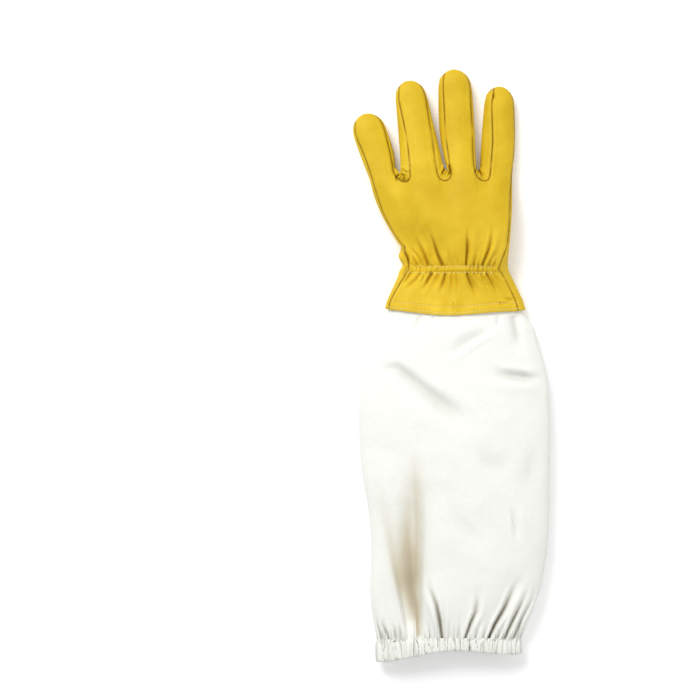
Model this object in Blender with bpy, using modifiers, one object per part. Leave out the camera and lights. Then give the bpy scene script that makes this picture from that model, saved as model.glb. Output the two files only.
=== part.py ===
"""A left-hand beekeeping glove, lying palm down with its thumb folded under the palm.

The hand and cuff are yellow leather: a back panel, a palm panel that wraps round the outer sides,
three forked strips between the fingers (fourchettes) and a thumb. A canvas sleeve is tucked into
the cuff and ends in an elastic casing. Metres, +Z up, fingers towards +Y, little finger at -X.
The origin is on the flat underside of the sleeve, on the surface that the glove lies on.
"""

import math

import bmesh
import bpy
from mathutils import Vector

# Walls, and the gaps between pieces
LEATHER = 0.0012
CANVAS = 0.0010
CASING = 0.0022
SEAM_GAP = 0.0004
INNER_EDGE_STEP = 0.8
TUCK_CLEARANCE = 0.0006

# Fingers. The length is the middle finger's, from the knuckle line to its tip
FINGER_LENGTH = 0.0897
FINGER_WIDTH = 0.029
FINGER_HEIGHT = 0.0165
TIP_ROUNDING = 0.0165
CROTCH_GAP = 0.0022
CROTCH_RISE = 0.0065
WEB_DEPTH = 0.0060

# Palm, wrist and cuff. A shift is how far the middle of that line lies off the centre line
PALM_LENGTH = 0.0760
PALM_WIDTH = 0.1190
KNUCKLE_SHIFT = -0.0084
WRIST_WIDTH = 0.0882
WRIST_SHIFT = 0.0031
WRIST_HEIGHT = 0.0185
GATHER_DEPTH = 0.0022
CUFF_EDGE_Y = 0.0440
CUFF_LENGTH = 0.0355
CUFF_WIDTH = 0.1167
CUFF_SHIFT = 0.0038
CUFF_HEIGHT = 0.0230
CUFF_TURN = 0.0007
CUFF_CORNER_RISE = 0.0040
CUFF_WAVE = 0.0011
CUFF_WAVE_PEAK = 0.59
CUFF_WAVE_SPAN = 1.37

# Thumb, folded flat under the palm
THUMB_LENGTH = 0.0600
THUMB_WIDTH = 0.0290
THUMB_HEIGHT = 0.0120
THUMB_CREVICE = 0.0016
THUMB_TURN_DEG = 50.0

# Sleeve and its elastic casing
SLEEVE_LENGTH = 0.2700
SLEEVE_WIDTH = 0.1570
SLEEVE_SHIFT = 0.0030
SLEEVE_HEIGHT = 0.0300
SLEEVE_TUCK = 0.0090
HEM_WIDTH = 0.1190
HEM_SHIFT = -0.0016
HEM_HEIGHT = 0.0210
HEM_DEPTH = 0.0150
HEM_ARCH = 0.0065
HEM_SLANT = 0.0035
HEM_TOP_SHARE = 0.20
PLEAT_COUNT = 36
PLEAT_DEPTH = 0.0008

# Shape of the sections: 2 is an ellipse, and more is flatter with rounder sides
CROWN_POWER = 2.2
SOLE_POWER = 3.0

# How many faces a form is made of
BACK_FACES = 6
SIDE_FACES = 4
WEB_FACES = 4
SLEEVE_FACES = 42

# Each finger from the little finger to the index. share: of the palm's width at the knuckles.
# length: of the middle finger's. lean: degrees towards the little finger. bow: sideways, of the
# finger's width. middle and cap: width there, of FINGER_WIDTH. The seams' insets are shares of the
# half width, at the knuckle, halfway and at the tip, on the little-finger side and the index side.
FINGERS = (
    dict(name="little", share=0.211, length=0.614, lean=17.2, bow=0.03, middle=0.99, cap=0.95,
         near=(0.16, 0.26, 0.14), far=(0.22, 0.28, 0.10)),
    dict(name="ring", share=0.328, length=0.904, lean=8.4, bow=0.02, middle=1.10, cap=0.91,
         near=(0.43, 0.46, 0.22), far=(0.36, 0.28, 0.08)),
    dict(name="middle", share=0.215, length=1.000, lean=4.6, bow=-0.05, middle=1.055, cap=0.965,
         near=(0.23, 0.40, 0.30), far=(0.12, 0.18, 0.06)),
    dict(name="index", share=0.246, length=0.841, lean=-3.1, bow=0.03, middle=1.00, cap=0.875,
         near=(0.66, 0.69, 0.50), far=(0.03, 0.03, 0.03)),
)
PALM_SEAM_INSET = 0.35
FINGER_ROWS = (0.0, 0.16, 0.50, 1.0)
CAP_ROWS = (0.45, 0.80, 0.96, 1.0)

# Rows from the knuckle line (0) through the wrist (1) to the cuff's edge (2). left and right: how far
# the outline has gone from the knuckles' (0) to the wrist's (1) and the cuff's (2). The side seams'
# insets are shares of the half width, and crown, gather and turn are shares of the sizes they follow.
HAND_ROWS = (
    dict(along=0.20, left=0.14, right=0.25, near=0.06, far=0.03, crown=1.10, gather=0.0, turn=0.0),
    dict(along=0.40, left=0.40, right=0.36, near=0.03, far=0.03, crown=1.16, gather=0.0, turn=0.0),
    dict(along=0.58, left=0.68, right=0.66, near=0.03, far=0.03, crown=1.14, gather=0.15, turn=0.0),
    dict(along=0.75, left=1.01, right=0.85, near=0.05, far=0.04, crown=1.06, gather=0.45, turn=0.0),
    dict(along=0.89, left=0.97, right=0.97, near=0.15, far=0.12, crown=1.00, gather=0.80, turn=0.0),
    dict(along=1.00, left=1.00, right=1.00, near=0.15, far=0.19, crown=1.00, gather=1.00, turn=0.0),
    dict(along=1.21, left=1.30, right=1.30, near=0.11, far=0.16, crown=1.00, gather=0.80, turn=0.0),
    dict(along=1.49, left=1.60, right=1.61, near=0.07, far=0.14, crown=1.00, gather=0.40, turn=0.0),
    dict(along=1.75, left=1.84, right=1.85, near=0.05, far=0.12, crown=1.00, gather=0.0, turn=0.0),
    dict(along=1.78, left=1.88, right=1.88, near=0.05, far=0.12, crown=1.00, gather=0.0, turn=1.0),
    dict(along=2.00, left=2.00, right=2.00, near=0.05, far=0.12, crown=1.00, gather=0.0, turn=1.0),
)
KNUCKLE_BLEND = (0.45, 0.15)
THUMB_HOLE_ROWS = (2, 4)
THUMB_HOLE_COLUMNS = (25, 35)

# The thumb's lower stretch turns from the hole's rim down to a section that stands upright. The
# places are shares of the hole's half length, along the thumb, and the heights of the thumb's.
THUMB_TURN_ROWS = (
    dict(front=1.03, front_height=1.00, rear=-0.90, rear_height=0.50),
    dict(front=1.08, front_height=0.98, rear=-0.45, rear_height=0.12),
    dict(front=1.16, front_height=0.98, rear=0.35, rear_height=0.0),
)
THUMB_ROWS = (0.45, 0.72)

# Sleeve rows from the cuff's edge (0) to the casing (1). left and right: how far the outline has
# gone from the cuff's (0) to the widest (1) and the casing's (2). height: of SLEEVE_HEIGHT.
SLEEVE_ROWS = (
    dict(along=0.045, left=0.39, right=0.28, height=0.80),
    dict(along=0.095, left=0.64, right=0.49, height=0.84),
    dict(along=0.15, left=0.82, right=0.68, height=0.90),
    dict(along=0.21, left=0.94, right=0.86, height=0.95),
    dict(along=0.28, left=1.00, right=0.94, height=1.00),
    dict(along=0.36, left=1.00, right=1.00, height=1.00),
    dict(along=0.45, left=1.04, right=1.00, height=1.00),
    dict(along=0.54, left=1.28, right=1.00, height=0.98),
    dict(along=0.62, left=1.58, right=1.00, height=0.96),
    dict(along=0.70, left=1.66, right=1.04, height=0.94),
    dict(along=0.78, left=1.64, right=1.16, height=0.92),
    dict(along=0.85, left=1.57, right=1.32, height=0.90),
    dict(along=0.91, left=1.70, right=1.56, height=0.86),
    dict(along=0.96, left=1.86, right=1.81, height=0.78),
)

# Folds across the sleeve's upper side, each from one place to another. across: share of the half
# width, -1 to 1. along: as in SLEEVE_ROWS. width and depth: of the sleeve's width and height.
SLEEVE_FOLDS = (
    dict(name="long_valley", start=(-0.55, 0.40), end=(-0.44, 0.98), width=0.085, depth=0.20),
    dict(name="shoulder_slant", start=(-0.80, 0.15), end=(0.10, 0.33), width=0.090, depth=0.10),
    dict(name="outer_crease", start=(0.42, 0.17), end=(0.92, 0.20), width=0.055, depth=0.12),
    dict(name="cuff_drop", start=(0.66, 0.01), end=(0.72, 0.14), width=0.060, depth=0.08),
    dict(name="hem_slant", start=(0.80, 0.78), end=(0.50, 0.98), width=0.060, depth=0.14),
    dict(name="hem_short", start=(0.30, 0.84), end=(0.10, 0.98), width=0.050, depth=0.09),
    dict(name="left_hem_pull", start=(-0.86, 0.80), end=(-0.78, 0.99), width=0.050, depth=0.08),
)

# Finishes: colours as linear RGB
YELLOW_LEATHER = (0.80, 0.50, 0.045)
LEATHER_ROUGHNESS = 0.48
WHITE_CANVAS = (0.90, 0.89, 0.83)
CANVAS_ROUGHNESS = 0.90


# Helpers for numbers and outlines

def smooth(value):
    """0 below 0, 1 above 1, and an even rise between them."""
    held = min(1.0, max(0.0, value))
    return held * held * (3.0 - 2.0 * held)


def staged(stage, stops):
    """The value at a stage: the first stop at 0, the second at 1, and so on, with straight runs between."""
    index = min(len(stops) - 2, max(0, int(math.floor(stage))))
    return stops[index] + (stops[index + 1] - stops[index]) * (stage - index)


def through(share, values):
    """The value at a share from 0 to 1 of the way through three values."""
    return staged(2.0 * share, values)


def arched(across, power):
    """How high a section stands at a place from -1 to 1 across it, as a share of its full height."""
    return (1.0 - min(1.0, abs(across)) ** power) ** (1.0 / power)


def edges_of(width, shift):
    return shift - width / 2.0, shift + width / 2.0


WRIST_Y = CUFF_EDGE_Y + CUFF_LENGTH
KNUCKLE_Y = WRIST_Y + PALM_LENGTH
CASING_Y = CUFF_EDGE_Y - SLEEVE_LENGTH
HAND_LEFTS, HAND_RIGHTS = zip(
    edges_of(PALM_WIDTH, KNUCKLE_SHIFT),
    edges_of(WRIST_WIDTH, WRIST_SHIFT),
    edges_of(CUFF_WIDTH, CUFF_SHIFT),
)
SLEEVE_LEFTS, SLEEVE_RIGHTS = zip(
    edges_of(CUFF_WIDTH, CUFF_SHIFT),
    edges_of(SLEEVE_WIDTH, SLEEVE_SHIFT),
    edges_of(HEM_WIDTH, HEM_SHIFT),
)

# The thumb's hole, and the line that the thumb lies along from the hole's middle to its tip
THUMB_ALONG = Vector((-math.sin(math.radians(THUMB_TURN_DEG)), math.cos(math.radians(THUMB_TURN_DEG)), 0.0))
THUMB_ACROSS = Vector((THUMB_ALONG.y, -THUMB_ALONG.x, 0.0))
HOLE_CENTRE = Vector((HAND_RIGHTS[1] - 0.62 * THUMB_WIDTH, WRIST_Y + 0.42 * PALM_LENGTH, 0.0))
HOLE_HALF_LENGTH = 0.62 * THUMB_WIDTH
THUMB_TIP = HOLE_CENTRE + THUMB_ALONG * THUMB_LENGTH


def lift(x, y):
    """How high the folded thumb holds the palm above the surface at a place."""
    place = Vector((x, y, 0.0)) - HOLE_CENTRE
    along = min(THUMB_LENGTH, max(0.0, place.dot(THUMB_ALONG)))
    distance = (place - THUMB_ALONG * along).length
    carried = smooth(1.0 - (distance - 0.62 * THUMB_WIDTH) / (1.15 * THUMB_WIDTH))
    off_the_cuff = smooth((y - CUFF_EDGE_Y - 0.30 * CUFF_LENGTH) / (0.70 * CUFF_LENGTH))
    return (THUMB_HEIGHT + THUMB_CREVICE) * carried * off_the_cuff


# The leather hand as one skin, whose faces know which panel they are cut from

class Skin:
    """Points and faces of the whole hand. Panels cut from it share its points, so their edges meet."""

    def __init__(self):
        self.mesh = bmesh.new()
        self.panel_of = {}

    def point(self, place):
        return self.mesh.verts.new(place)

    def face(self, corners, panel):
        distinct = list(dict.fromkeys(corners))
        if len(distinct) > 2:
            self.panel_of[self.mesh.faces.new(distinct)] = panel

    def band(self, first, second, panels):
        """Faces between two rows of points, each with its panel's name."""
        for index, panel in enumerate(panels):
            self.face((first[index], first[index + 1], second[index + 1], second[index]), panel)


def finger_frame(index):
    """Where a finger starts, the direction it runs in and the direction across it."""
    before = sum(finger["share"] for finger in FINGERS[:index])
    total = sum(finger["share"] for finger in FINGERS)
    finger = FINGERS[index]
    x = HAND_LEFTS[0] + PALM_WIDTH * (before + finger["share"] / 2.0) / total
    lean = math.radians(finger["lean"])
    return (
        Vector((x, KNUCKLE_Y, 0.0)),
        Vector((-math.sin(lean), math.cos(lean), 0.0)),
        Vector((math.cos(lean), math.sin(lean), 0.0)),
    )


def ring_angles(near, far):
    """Angles round a finger, from its index side over the back. Seams lie between the four groups."""
    far_seam, near_seam = math.acos(1.0 - far), math.acos(1.0 - near)
    palm_seam = math.acos(1.0 - PALM_SEAM_INSET)
    stops = (
        (0.0, far_seam, SIDE_FACES // 2),
        (far_seam, math.pi - near_seam, BACK_FACES),
        (math.pi - near_seam, math.pi, SIDE_FACES // 2),
        (math.pi, math.pi + palm_seam, SIDE_FACES // 2),
        (math.pi + palm_seam, 2.0 * math.pi - palm_seam, BACK_FACES),
        (2.0 * math.pi - palm_seam, 2.0 * math.pi, SIDE_FACES // 2),
    )
    return [start + (end - start) * step / count for start, end, count in stops for step in range(count)]


def finger_rings(index):
    """Rings of places from the knuckle to the tip. The last one is flat: its halves are the tip's seam."""
    finger = FINGERS[index]
    start, ahead, across = finger_frame(index)
    length = FINGER_LENGTH * finger["length"]
    widths = (
        PALM_WIDTH * finger["share"] / FINGER_WIDTH - CROTCH_GAP / FINGER_WIDTH,
        finger["middle"],
        finger["cap"],
    )
    rows = [(share, 0.0) for share in FINGER_ROWS] + [(1.0, cap) for cap in CAP_ROWS]
    rings = []
    for share, cap in rows:
        half = FINGER_WIDTH * through(share, widths) / 2.0
        angles = ring_angles(through(share, finger["near"]), through(share, finger["far"]))
        down = share * (length - TIP_ROUNDING)
        centre = start + ahead * down + across * (finger["bow"] * FINGER_WIDTH * math.sin(math.pi * share))
        middle = lift(centre.x, centre.y) + FINGER_HEIGHT / 2.0
        ring = []
        for angle in angles:
            cosine, sine = math.cos(angle), math.sin(angle)
            beside = half * cosine * math.sqrt(1.0 - cap * cap / 2.0)
            onward = TIP_ROUNDING * cap * math.sqrt(1.0 - cosine * cosine / 2.0)
            onward += web_rise(index, share, angle)
            plump = abs(sine) if sine > 0.0 else abs(sine) ** 0.8
            height = math.copysign(plump, sine) * math.sqrt(1.0 - cap * cap) * FINGER_HEIGHT / 2.0
            ring.append(centre + across * beside + ahead * onward + Vector((0.0, 0.0, middle + height)))
        rings.append(ring)
    return rings


def web_rise(index, share, angle):
    """How far towards the tip a finger's inner side rises at the knuckle, where the strips meet."""
    inner = math.cos(angle) > 0.0 and index < len(FINGERS) - 1 or math.cos(angle) < 0.0 and index > 0
    if not inner:
        return 0.0
    return CROTCH_RISE * math.cos(angle) ** 4 * smooth(1.0 - share / 0.30)


def finger_panels(index, last_band):
    """The panel of each face round a finger, in the order of ring_angles."""
    near = "palm_panel" if index == 0 else fourchette_name(index - 1)
    far = "palm_panel" if index == len(FINGERS) - 1 else fourchette_name(index)
    half = SIDE_FACES // 2
    if last_band:
        return ["back_panel"] * (2 * half + BACK_FACES) + ["palm_panel"] * (2 * half + BACK_FACES)
    back, palm = ["back_panel"] * BACK_FACES, ["palm_panel"] * BACK_FACES
    return [far] * half + back + [near] * SIDE_FACES + palm + [far] * half


def fourchette_name(index):
    return f"fourchette_{FINGERS[index]['name']}_{FINGERS[index + 1]['name']}"


def add_finger(skin, index):
    """Adds a finger to the skin, and returns the points of its first ring."""
    rings = finger_rings(index)
    rows = [[skin.point(place) for place in ring] for ring in rings[:-1]]
    count = len(rings[-1])
    tip = [skin.point(place) for place in rings[-1][: count // 2 + 1]]
    rows.append(tip + tip[-2:0:-1])
    for number, (row, onward) in enumerate(zip(rows, rows[1:])):
        panels = finger_panels(index, number == len(rows) - 2)
        skin.band(row + row[:1], onward + onward[:1], panels)
    return rows[0]


def column_of(index):
    """The palm's column where a finger's back starts."""
    return SIDE_FACES // 2 + index * (BACK_FACES + WEB_FACES)


LAST_COLUMN = column_of(len(FINGERS) - 1) + BACK_FACES + SIDE_FACES // 2
HALF_RING = SIDE_FACES + BACK_FACES


def web_row(left, right):
    """Points of the U between two fingers' seams, from the left seam to the right one."""
    places = []
    for step in range(1, WEB_FACES):
        turn = math.pi * step / WEB_FACES
        share = (1.0 - math.cos(turn)) / 2.0
        place = left.lerp(right, share)
        place.y -= WEB_DEPTH * math.sin(turn)
        places.append(place)
    return places


def knuckle_row(skin, fingers, upper):
    """The palm's first row of points on one side, through the fingers' rings and the webs between them."""
    half = SIDE_FACES // 2
    row = []
    for index, ring in enumerate(fingers):
        if upper:
            run = [ring[HALF_RING - step] for step in range(half, half + BACK_FACES + 1)]
            outer = [ring[HALF_RING - step] for step in range(half)]
            last = [ring[step] for step in range(half - 1, -1, -1)]
        else:
            run = [ring[HALF_RING + step] for step in range(half, half + BACK_FACES + 1)]
            outer = [ring[HALF_RING + step] for step in range(half)]
            last = [ring[(2 * HALF_RING - step) % (2 * HALF_RING)] for step in range(half - 1, -1, -1)]
        row += (outer if index == 0 else []) + run
        if index == len(fingers) - 1:
            row += last
            continue
        onward = fingers[index + 1]
        right = onward[HALF_RING - half] if upper else onward[HALF_RING + half]
        row += [skin.point(place) for place in web_row(run[-1].co, right.co)]
    return row


def cuff_wave(across):
    """How far the cuff's edge lies off its line, at a place from -1 to 1 across it."""
    turn = 2.0 * math.pi * (across - CUFF_WAVE_PEAK) / CUFF_WAVE_SPAN
    return CUFF_CORNER_RISE * across ** 4 - CUFF_WAVE * (1.0 - math.cos(turn))


def hand_height(row, across, x, y, upper):
    """The height of the palm's or the cuff's skin."""
    half = staged(row["along"], (FINGER_HEIGHT, WRIST_HEIGHT, CUFF_HEIGHT)) * row["crown"] / 2.0
    middle = lift(x, y) + half
    if upper:
        return middle + (half + CUFF_TURN * row["turn"]) * arched(across, CROWN_POWER)
    return middle - half * min(1.0, 1.04 * arched(across, SOLE_POWER))


def gathered(column):
    """A ridge in every three columns of the back, for the elastic's gathers: -1 in the valley."""
    return -math.cos(2.0 * math.pi * (column - SIDE_FACES // 2) / 3.0)


def palm_places(row, first_row, upper):
    """Places across one row of the palm or cuff, from the little finger's side to the index side."""
    half_side = SIDE_FACES // 2
    left, right = staged(row["left"], HAND_LEFTS), staged(row["right"], HAND_RIGHTS)
    centre, half = (left + right) / 2.0, (right - left) / 2.0
    y_line = staged(row["along"], (KNUCKLE_Y, WRIST_Y, CUFF_EDGE_Y))
    spread = smooth(row["along"])
    near_angle, far_angle = math.acos(1.0 - row["near"]), math.acos(1.0 - row["far"])
    start, end = first_row[half_side].co.x, first_row[LAST_COLUMN - half_side].co.x
    seam_left, seam_right = centre - half * (1.0 - row["near"]), centre + half * (1.0 - row["far"])
    places = []
    for column in range(LAST_COLUMN + 1):
        if column < half_side:
            x = centre - half * math.cos(near_angle * column / half_side)
        elif column > LAST_COLUMN - half_side:
            x = centre + half * math.cos(far_angle * (LAST_COLUMN - column) / half_side)
        else:
            even = (column - half_side) / (LAST_COLUMN - SIDE_FACES)
            knuckle = (first_row[column].co.x - start) / (end - start)
            x = seam_left + (seam_right - seam_left) * (knuckle + (even - knuckle) * spread)
        across = (x - centre) / half
        y = y_line + (first_row[column].co.y - KNUCKLE_Y) * 0.35 * smooth(1.0 - row["along"] / 0.6)
        y += cuff_wave(across) * smooth((row["along"] - 1.5) / 0.5)
        z = hand_height(row, across, x, y, upper)
        if upper and half_side <= column <= LAST_COLUMN - half_side:
            from_seam = min(column - half_side, LAST_COLUMN - half_side - column)
            z += GATHER_DEPTH * row["gather"] * gathered(column) * min(1.0, from_seam / 3.0) / 2.0
        places.append(Vector((x, y, z)))
    return places


def add_palm(skin, fingers):
    """Adds the back, the palm and the cuff. Returns the rim of the thumb's hole, in order round it."""
    half_side = SIDE_FACES // 2
    sides = {}
    for upper in (True, False):
        first = knuckle_row(skin, fingers, upper)
        rows = [first]
        knuckle = dict(HAND_ROWS[0], along=0.0, left=0.0, right=0.0, crown=1.0)
        plain = palm_places(knuckle, first, upper)
        for number, row in enumerate(HAND_ROWS):
            places = palm_places(row, first, upper)
            keep = KNUCKLE_BLEND[number] if number < len(KNUCKLE_BLEND) else 0.0
            for column, place in enumerate(places):
                place.z += keep * (first[column].co.z - plain[column].z)
            if upper:
                rows.append([skin.point(place) for place in places])
            else:
                ends = sides[True][number + 1]
                inner = [skin.point(place) for place in places[1:-1]]
                rows.append([ends[0]] + inner + [ends[-1]])
        sides[upper] = rows
    back = ["palm_panel"] * half_side + ["back_panel"] * (LAST_COLUMN - SIDE_FACES) + ["palm_panel"] * half_side
    for row, onward in zip(sides[True], sides[True][1:]):
        skin.band(row, onward, back)
    first_row, last_row = THUMB_HOLE_ROWS
    first_column, last_column = THUMB_HOLE_COLUMNS
    for number, (row, onward) in enumerate(zip(sides[False], sides[False][1:])):
        if first_row <= number < last_row:
            skin.band(row[: first_column + 1], onward[: first_column + 1], ["palm_panel"] * first_column)
            skin.band(row[last_column:], onward[last_column:], ["palm_panel"] * (LAST_COLUMN - last_column))
        else:
            skin.band(row, onward, ["palm_panel"] * LAST_COLUMN)
    lower = sides[False]
    rim = lower[first_row][first_column:last_column]
    rim += [lower[row][last_column] for row in range(first_row, last_row)]
    rim += lower[last_row][last_column:first_column:-1]
    rim += [lower[row][first_column] for row in range(last_row, first_row, -1)]
    add_webs(skin, fingers, sides)
    round_corners(rim, (0, last_column - first_column))
    round_corners(rim, (last_column - first_column + last_row - first_row, -(last_row - first_row)))
    return rim


def round_corners(rim, corners):
    for corner in corners:
        between = (rim[corner - 1].co + rim[(corner + 1) % len(rim)].co) / 2.0
        rim[corner].co = rim[corner].co.lerp(between, 0.6)


def add_webs(skin, fingers, sides):
    """Joins each pair of fingers at its crotch: the fork of the strip between them."""
    half_side = SIDE_FACES // 2
    full = 2 * HALF_RING
    for index in range(len(FINGERS) - 1):
        left, right = fingers[index], fingers[index + 1]
        rows = [[left[(half_side - step) % full] for step in range(SIDE_FACES + 1)]]
        column = column_of(index) + BACK_FACES
        for step in range(1, WEB_FACES):
            top, bottom = sides[True][0][column + step], sides[False][0][column + step]
            turn = math.pi * step / WEB_FACES
            share = (1.0 - math.cos(turn)) / 2.0
            row = [top]
            for across in range(1, SIDE_FACES):
                ends = (left[(half_side - across) % full].co, right[HALF_RING - half_side + across].co)
                place = ends[0].lerp(ends[1], share)
                rise = math.sin(math.pi * across / SIDE_FACES)
                place.y -= (WEB_DEPTH * (1.0 - rise) + CROTCH_GAP / 2.0) * math.sin(turn)
                row.append(skin.point(place))
            rows.append(row + [bottom])
        rows.append([right[HALF_RING - half_side + step] for step in range(SIDE_FACES + 1)])
        for row, onward in zip(rows, rows[1:]):
            skin.band(row, onward, [fourchette_name(index)] * SIDE_FACES)


def add_thumb(skin, rim):
    """Adds the thumb to the rim of its hole: a turn down under the palm, a straight run and a round tip."""
    angles = []
    for vert in rim:
        offset = vert.co - HOLE_CENTRE
        angles.append(math.atan2(offset.dot(THUMB_ALONG), offset.dot(THUMB_ACROSS)))
    rows = [rim]
    half = THUMB_WIDTH / 2.0
    for turn in THUMB_TURN_ROWS:
        front = THUMB_ALONG * (turn["front"] * HOLE_HALF_LENGTH)
        rear = THUMB_ALONG * (turn["rear"] * HOLE_HALF_LENGTH)
        front.z, rear.z = turn["front_height"] * THUMB_HEIGHT, turn["rear_height"] * THUMB_HEIGHT
        centre = HOLE_CENTRE + (front + rear) / 2.0
        rows.append(thumb_ring(skin, angles, centre, (front - rear) / 2.0, half))
    upright = Vector((0.0, 0.0, THUMB_HEIGHT / 2.0))
    straight_start = 1.28 * HOLE_HALF_LENGTH
    straight = THUMB_LENGTH - TIP_ROUNDING - straight_start
    for share in (0.0, *THUMB_ROWS):
        centre = HOLE_CENTRE + THUMB_ALONG * (straight_start + straight * share) + upright
        rows.append(thumb_ring(skin, angles, centre, upright, half))
    for cap in (0.0, *CAP_ROWS[:-1], 0.998):
        centre = HOLE_CENTRE + THUMB_ALONG * (THUMB_LENGTH - TIP_ROUNDING + TIP_ROUNDING * cap) + upright
        shrink = math.sqrt(1.0 - cap * cap)
        rows.append(thumb_ring(skin, angles, centre, upright * shrink, half * shrink))
    for row, onward in zip(rows, rows[1:]):
        skin.band(row + row[:1], onward + onward[:1], ["thumb"] * len(rim))
    skin.face(rows[-1], "thumb")


def thumb_ring(skin, angles, centre, upward, half):
    """An oval of points: upward is half its height, as a vector, and half is half its width."""
    ring = []
    for angle in angles:
        place = centre + THUMB_ACROSS * (half * math.cos(angle)) + upward * math.sin(angle)
        place.z = max(0.0, place.z)
        ring.append(skin.point(place))
    return ring


def build_skin():
    skin = Skin()
    fingers = [add_finger(skin, index) for index in range(len(FINGERS))]
    rim = add_palm(skin, fingers)
    add_thumb(skin, rim)
    faces = list(skin.mesh.faces)
    bmesh.ops.recalc_face_normals(skin.mesh, faces=faces)
    if sum(face.normal.z * face.calc_area() for face in faces if skin.panel_of[face] == "back_panel") < 0.0:
        bmesh.ops.reverse_faces(skin.mesh, faces=faces)
    skin.mesh.normal_update()
    return skin


def drawn_in(inwards):
    """A step that takes a corner in from each of its edges by half the seam's gap."""
    if len(inwards) == 1:
        return inwards[0] * (SEAM_GAP / 2.0)
    total = inwards[0] + inwards[1]
    return total * (SEAM_GAP / 2.0 / max(0.35, 1.0 + inwards[0].dot(inwards[1])))


def cut_panel(skin, name, wall):
    """Copies a panel out of the skin, draws its edges in by half the seam's gap, and gives it a wall."""
    panel = bmesh.new()
    copies, inward = {}, {}
    for face in skin.mesh.faces:
        if skin.panel_of[face] != name:
            continue
        corners = []
        for vert in face.verts:
            if vert not in copies:
                copies[vert] = panel.verts.new(vert.co)
                inward[vert] = []
            corners.append(copies[vert])
        panel.faces.new(corners)
        for edge in face.edges:
            if all(skin.panel_of[other] == name for other in edge.link_faces):
                continue
            first, second = edge.verts
            inside = face.normal.cross(second.co - first.co).normalized()
            if inside.dot(face.calc_center_median() - first.co) < 0.0:
                inside.negate()
            inward[first].append(inside)
            inward[second].append(inside)
    offsets = {}
    for vert, copy in copies.items():
        offsets[copy] = vert.normal * (-wall * min(1.4, vert.calc_shell_factor()))
        if inward[vert]:
            step = drawn_in(inward[vert])
            copy.co += step
            offsets[copy] += step * INNER_EDGE_STEP
    outer = list(panel.verts)
    made = bmesh.ops.extrude_face_region(panel, geom=list(panel.faces), use_keep_orig=True)
    inner = [item for item in made["geom"] if isinstance(item, bmesh.types.BMVert)]
    places = {tuple(vert.co): offsets[vert] for vert in outer}
    for vert in inner:
        vert.co += places[tuple(vert.co)]
    bmesh.ops.recalc_face_normals(panel, faces=list(panel.faces))
    return panel


# Objects, materials and the sleeve

def new_material(name, colour, roughness):
    material = bpy.data.materials.new(name)
    material.use_nodes = True
    shader = material.node_tree.nodes["Principled BSDF"]
    shader.inputs["Base Color"].default_value = (*colour, 1.0)
    shader.inputs["Roughness"].default_value = roughness
    shader.inputs["Metallic"].default_value = 0.0
    material.diffuse_color = (*colour, 1.0)
    return material


def new_object(name, mesh, material, collection, parent):
    data = bpy.data.meshes.new(name)
    mesh.to_mesh(data)
    mesh.free()
    data.shade_smooth()
    data.set_sharp_from_angle(angle=math.radians(50.0))
    data.materials.append(material)
    made = bpy.data.objects.new(name, data)
    made.parent = parent
    collection.objects.link(made)
    return made


def tube(rings):
    """An open tube through rings of places, with its faces pointing outwards."""
    mesh = bmesh.new()
    rows = [[mesh.verts.new(place) for place in ring] for ring in rings]
    for row, onward in zip(rows, rows[1:]):
        for index in range(len(row)):
            after = (index + 1) % len(row)
            mesh.faces.new((row[index], row[after], onward[after], onward[index]))
    return mesh


def hem_arch(across):
    """How far the casing's line lies above its ends, at a place from -1 to 1 across it."""
    return HEM_ARCH * math.cos(math.pi * across / 2.0) ** 2 + HEM_SLANT * across


def fold_depth(across, along):
    """How deep the sleeve's upper side is pressed in at a place, as a share of its height."""
    depth = 0.0
    for fold in SLEEVE_FOLDS:
        start, end = Vector(fold["start"]), Vector(fold["end"])
        scale = Vector((0.5, SLEEVE_LENGTH / SLEEVE_WIDTH))
        place = Vector((across, along)) - start
        run = (end - start) * scale
        place = place * scale
        share = min(1.0, max(0.0, place.dot(run) / run.length_squared))
        distance = (place - run * share).length
        fade = smooth(share / 0.35) if along < 0.75 else smooth(share / 0.35 + 0.15)
        depth += fold["depth"] * fade * smooth(1.0 - distance / fold["width"])
    return depth


def sleeve_ring(y, left, right, height, floor=0.0, along=None, arch=0.0):
    """One ring round the sleeve, from the index side over the top. floor is its underside's height."""
    centre, half = (left + right) / 2.0, (right - left) / 2.0
    side = floor + 0.45 * (height - floor)
    ring = []
    for step in range(SLEEVE_FACES):
        angle = 2.0 * math.pi * step / SLEEVE_FACES
        across = math.copysign(abs(math.cos(angle)) ** (2.0 / CROWN_POWER), math.cos(angle))
        rise = abs(math.sin(angle)) ** (2.0 / CROWN_POWER)
        if math.sin(angle) > 0.0:
            z = side + (height - side) * rise
            if along is not None:
                z -= min(0.7 * (height - side) * rise, height * fold_depth(across, along))
        else:
            z = side - (side - floor) * min(1.0, 1.22 * rise)
        ring.append(Vector((centre + half * across, y + arch * hem_arch(across), z)))
    return ring


def tucked_ring(along):
    """The sleeve's ring inside the cuff, clear of the leather."""
    inset = LEATHER + TUCK_CLEARANCE
    left, right = staged(along, HAND_LEFTS) + inset, staged(along, HAND_RIGHTS) - inset
    height = staged(along, (FINGER_HEIGHT, WRIST_HEIGHT, CUFF_HEIGHT)) - inset
    y = staged(along, (KNUCKLE_Y, WRIST_Y, CUFF_EDGE_Y))
    return sleeve_ring(y, left, right, height, floor=inset)


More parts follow.
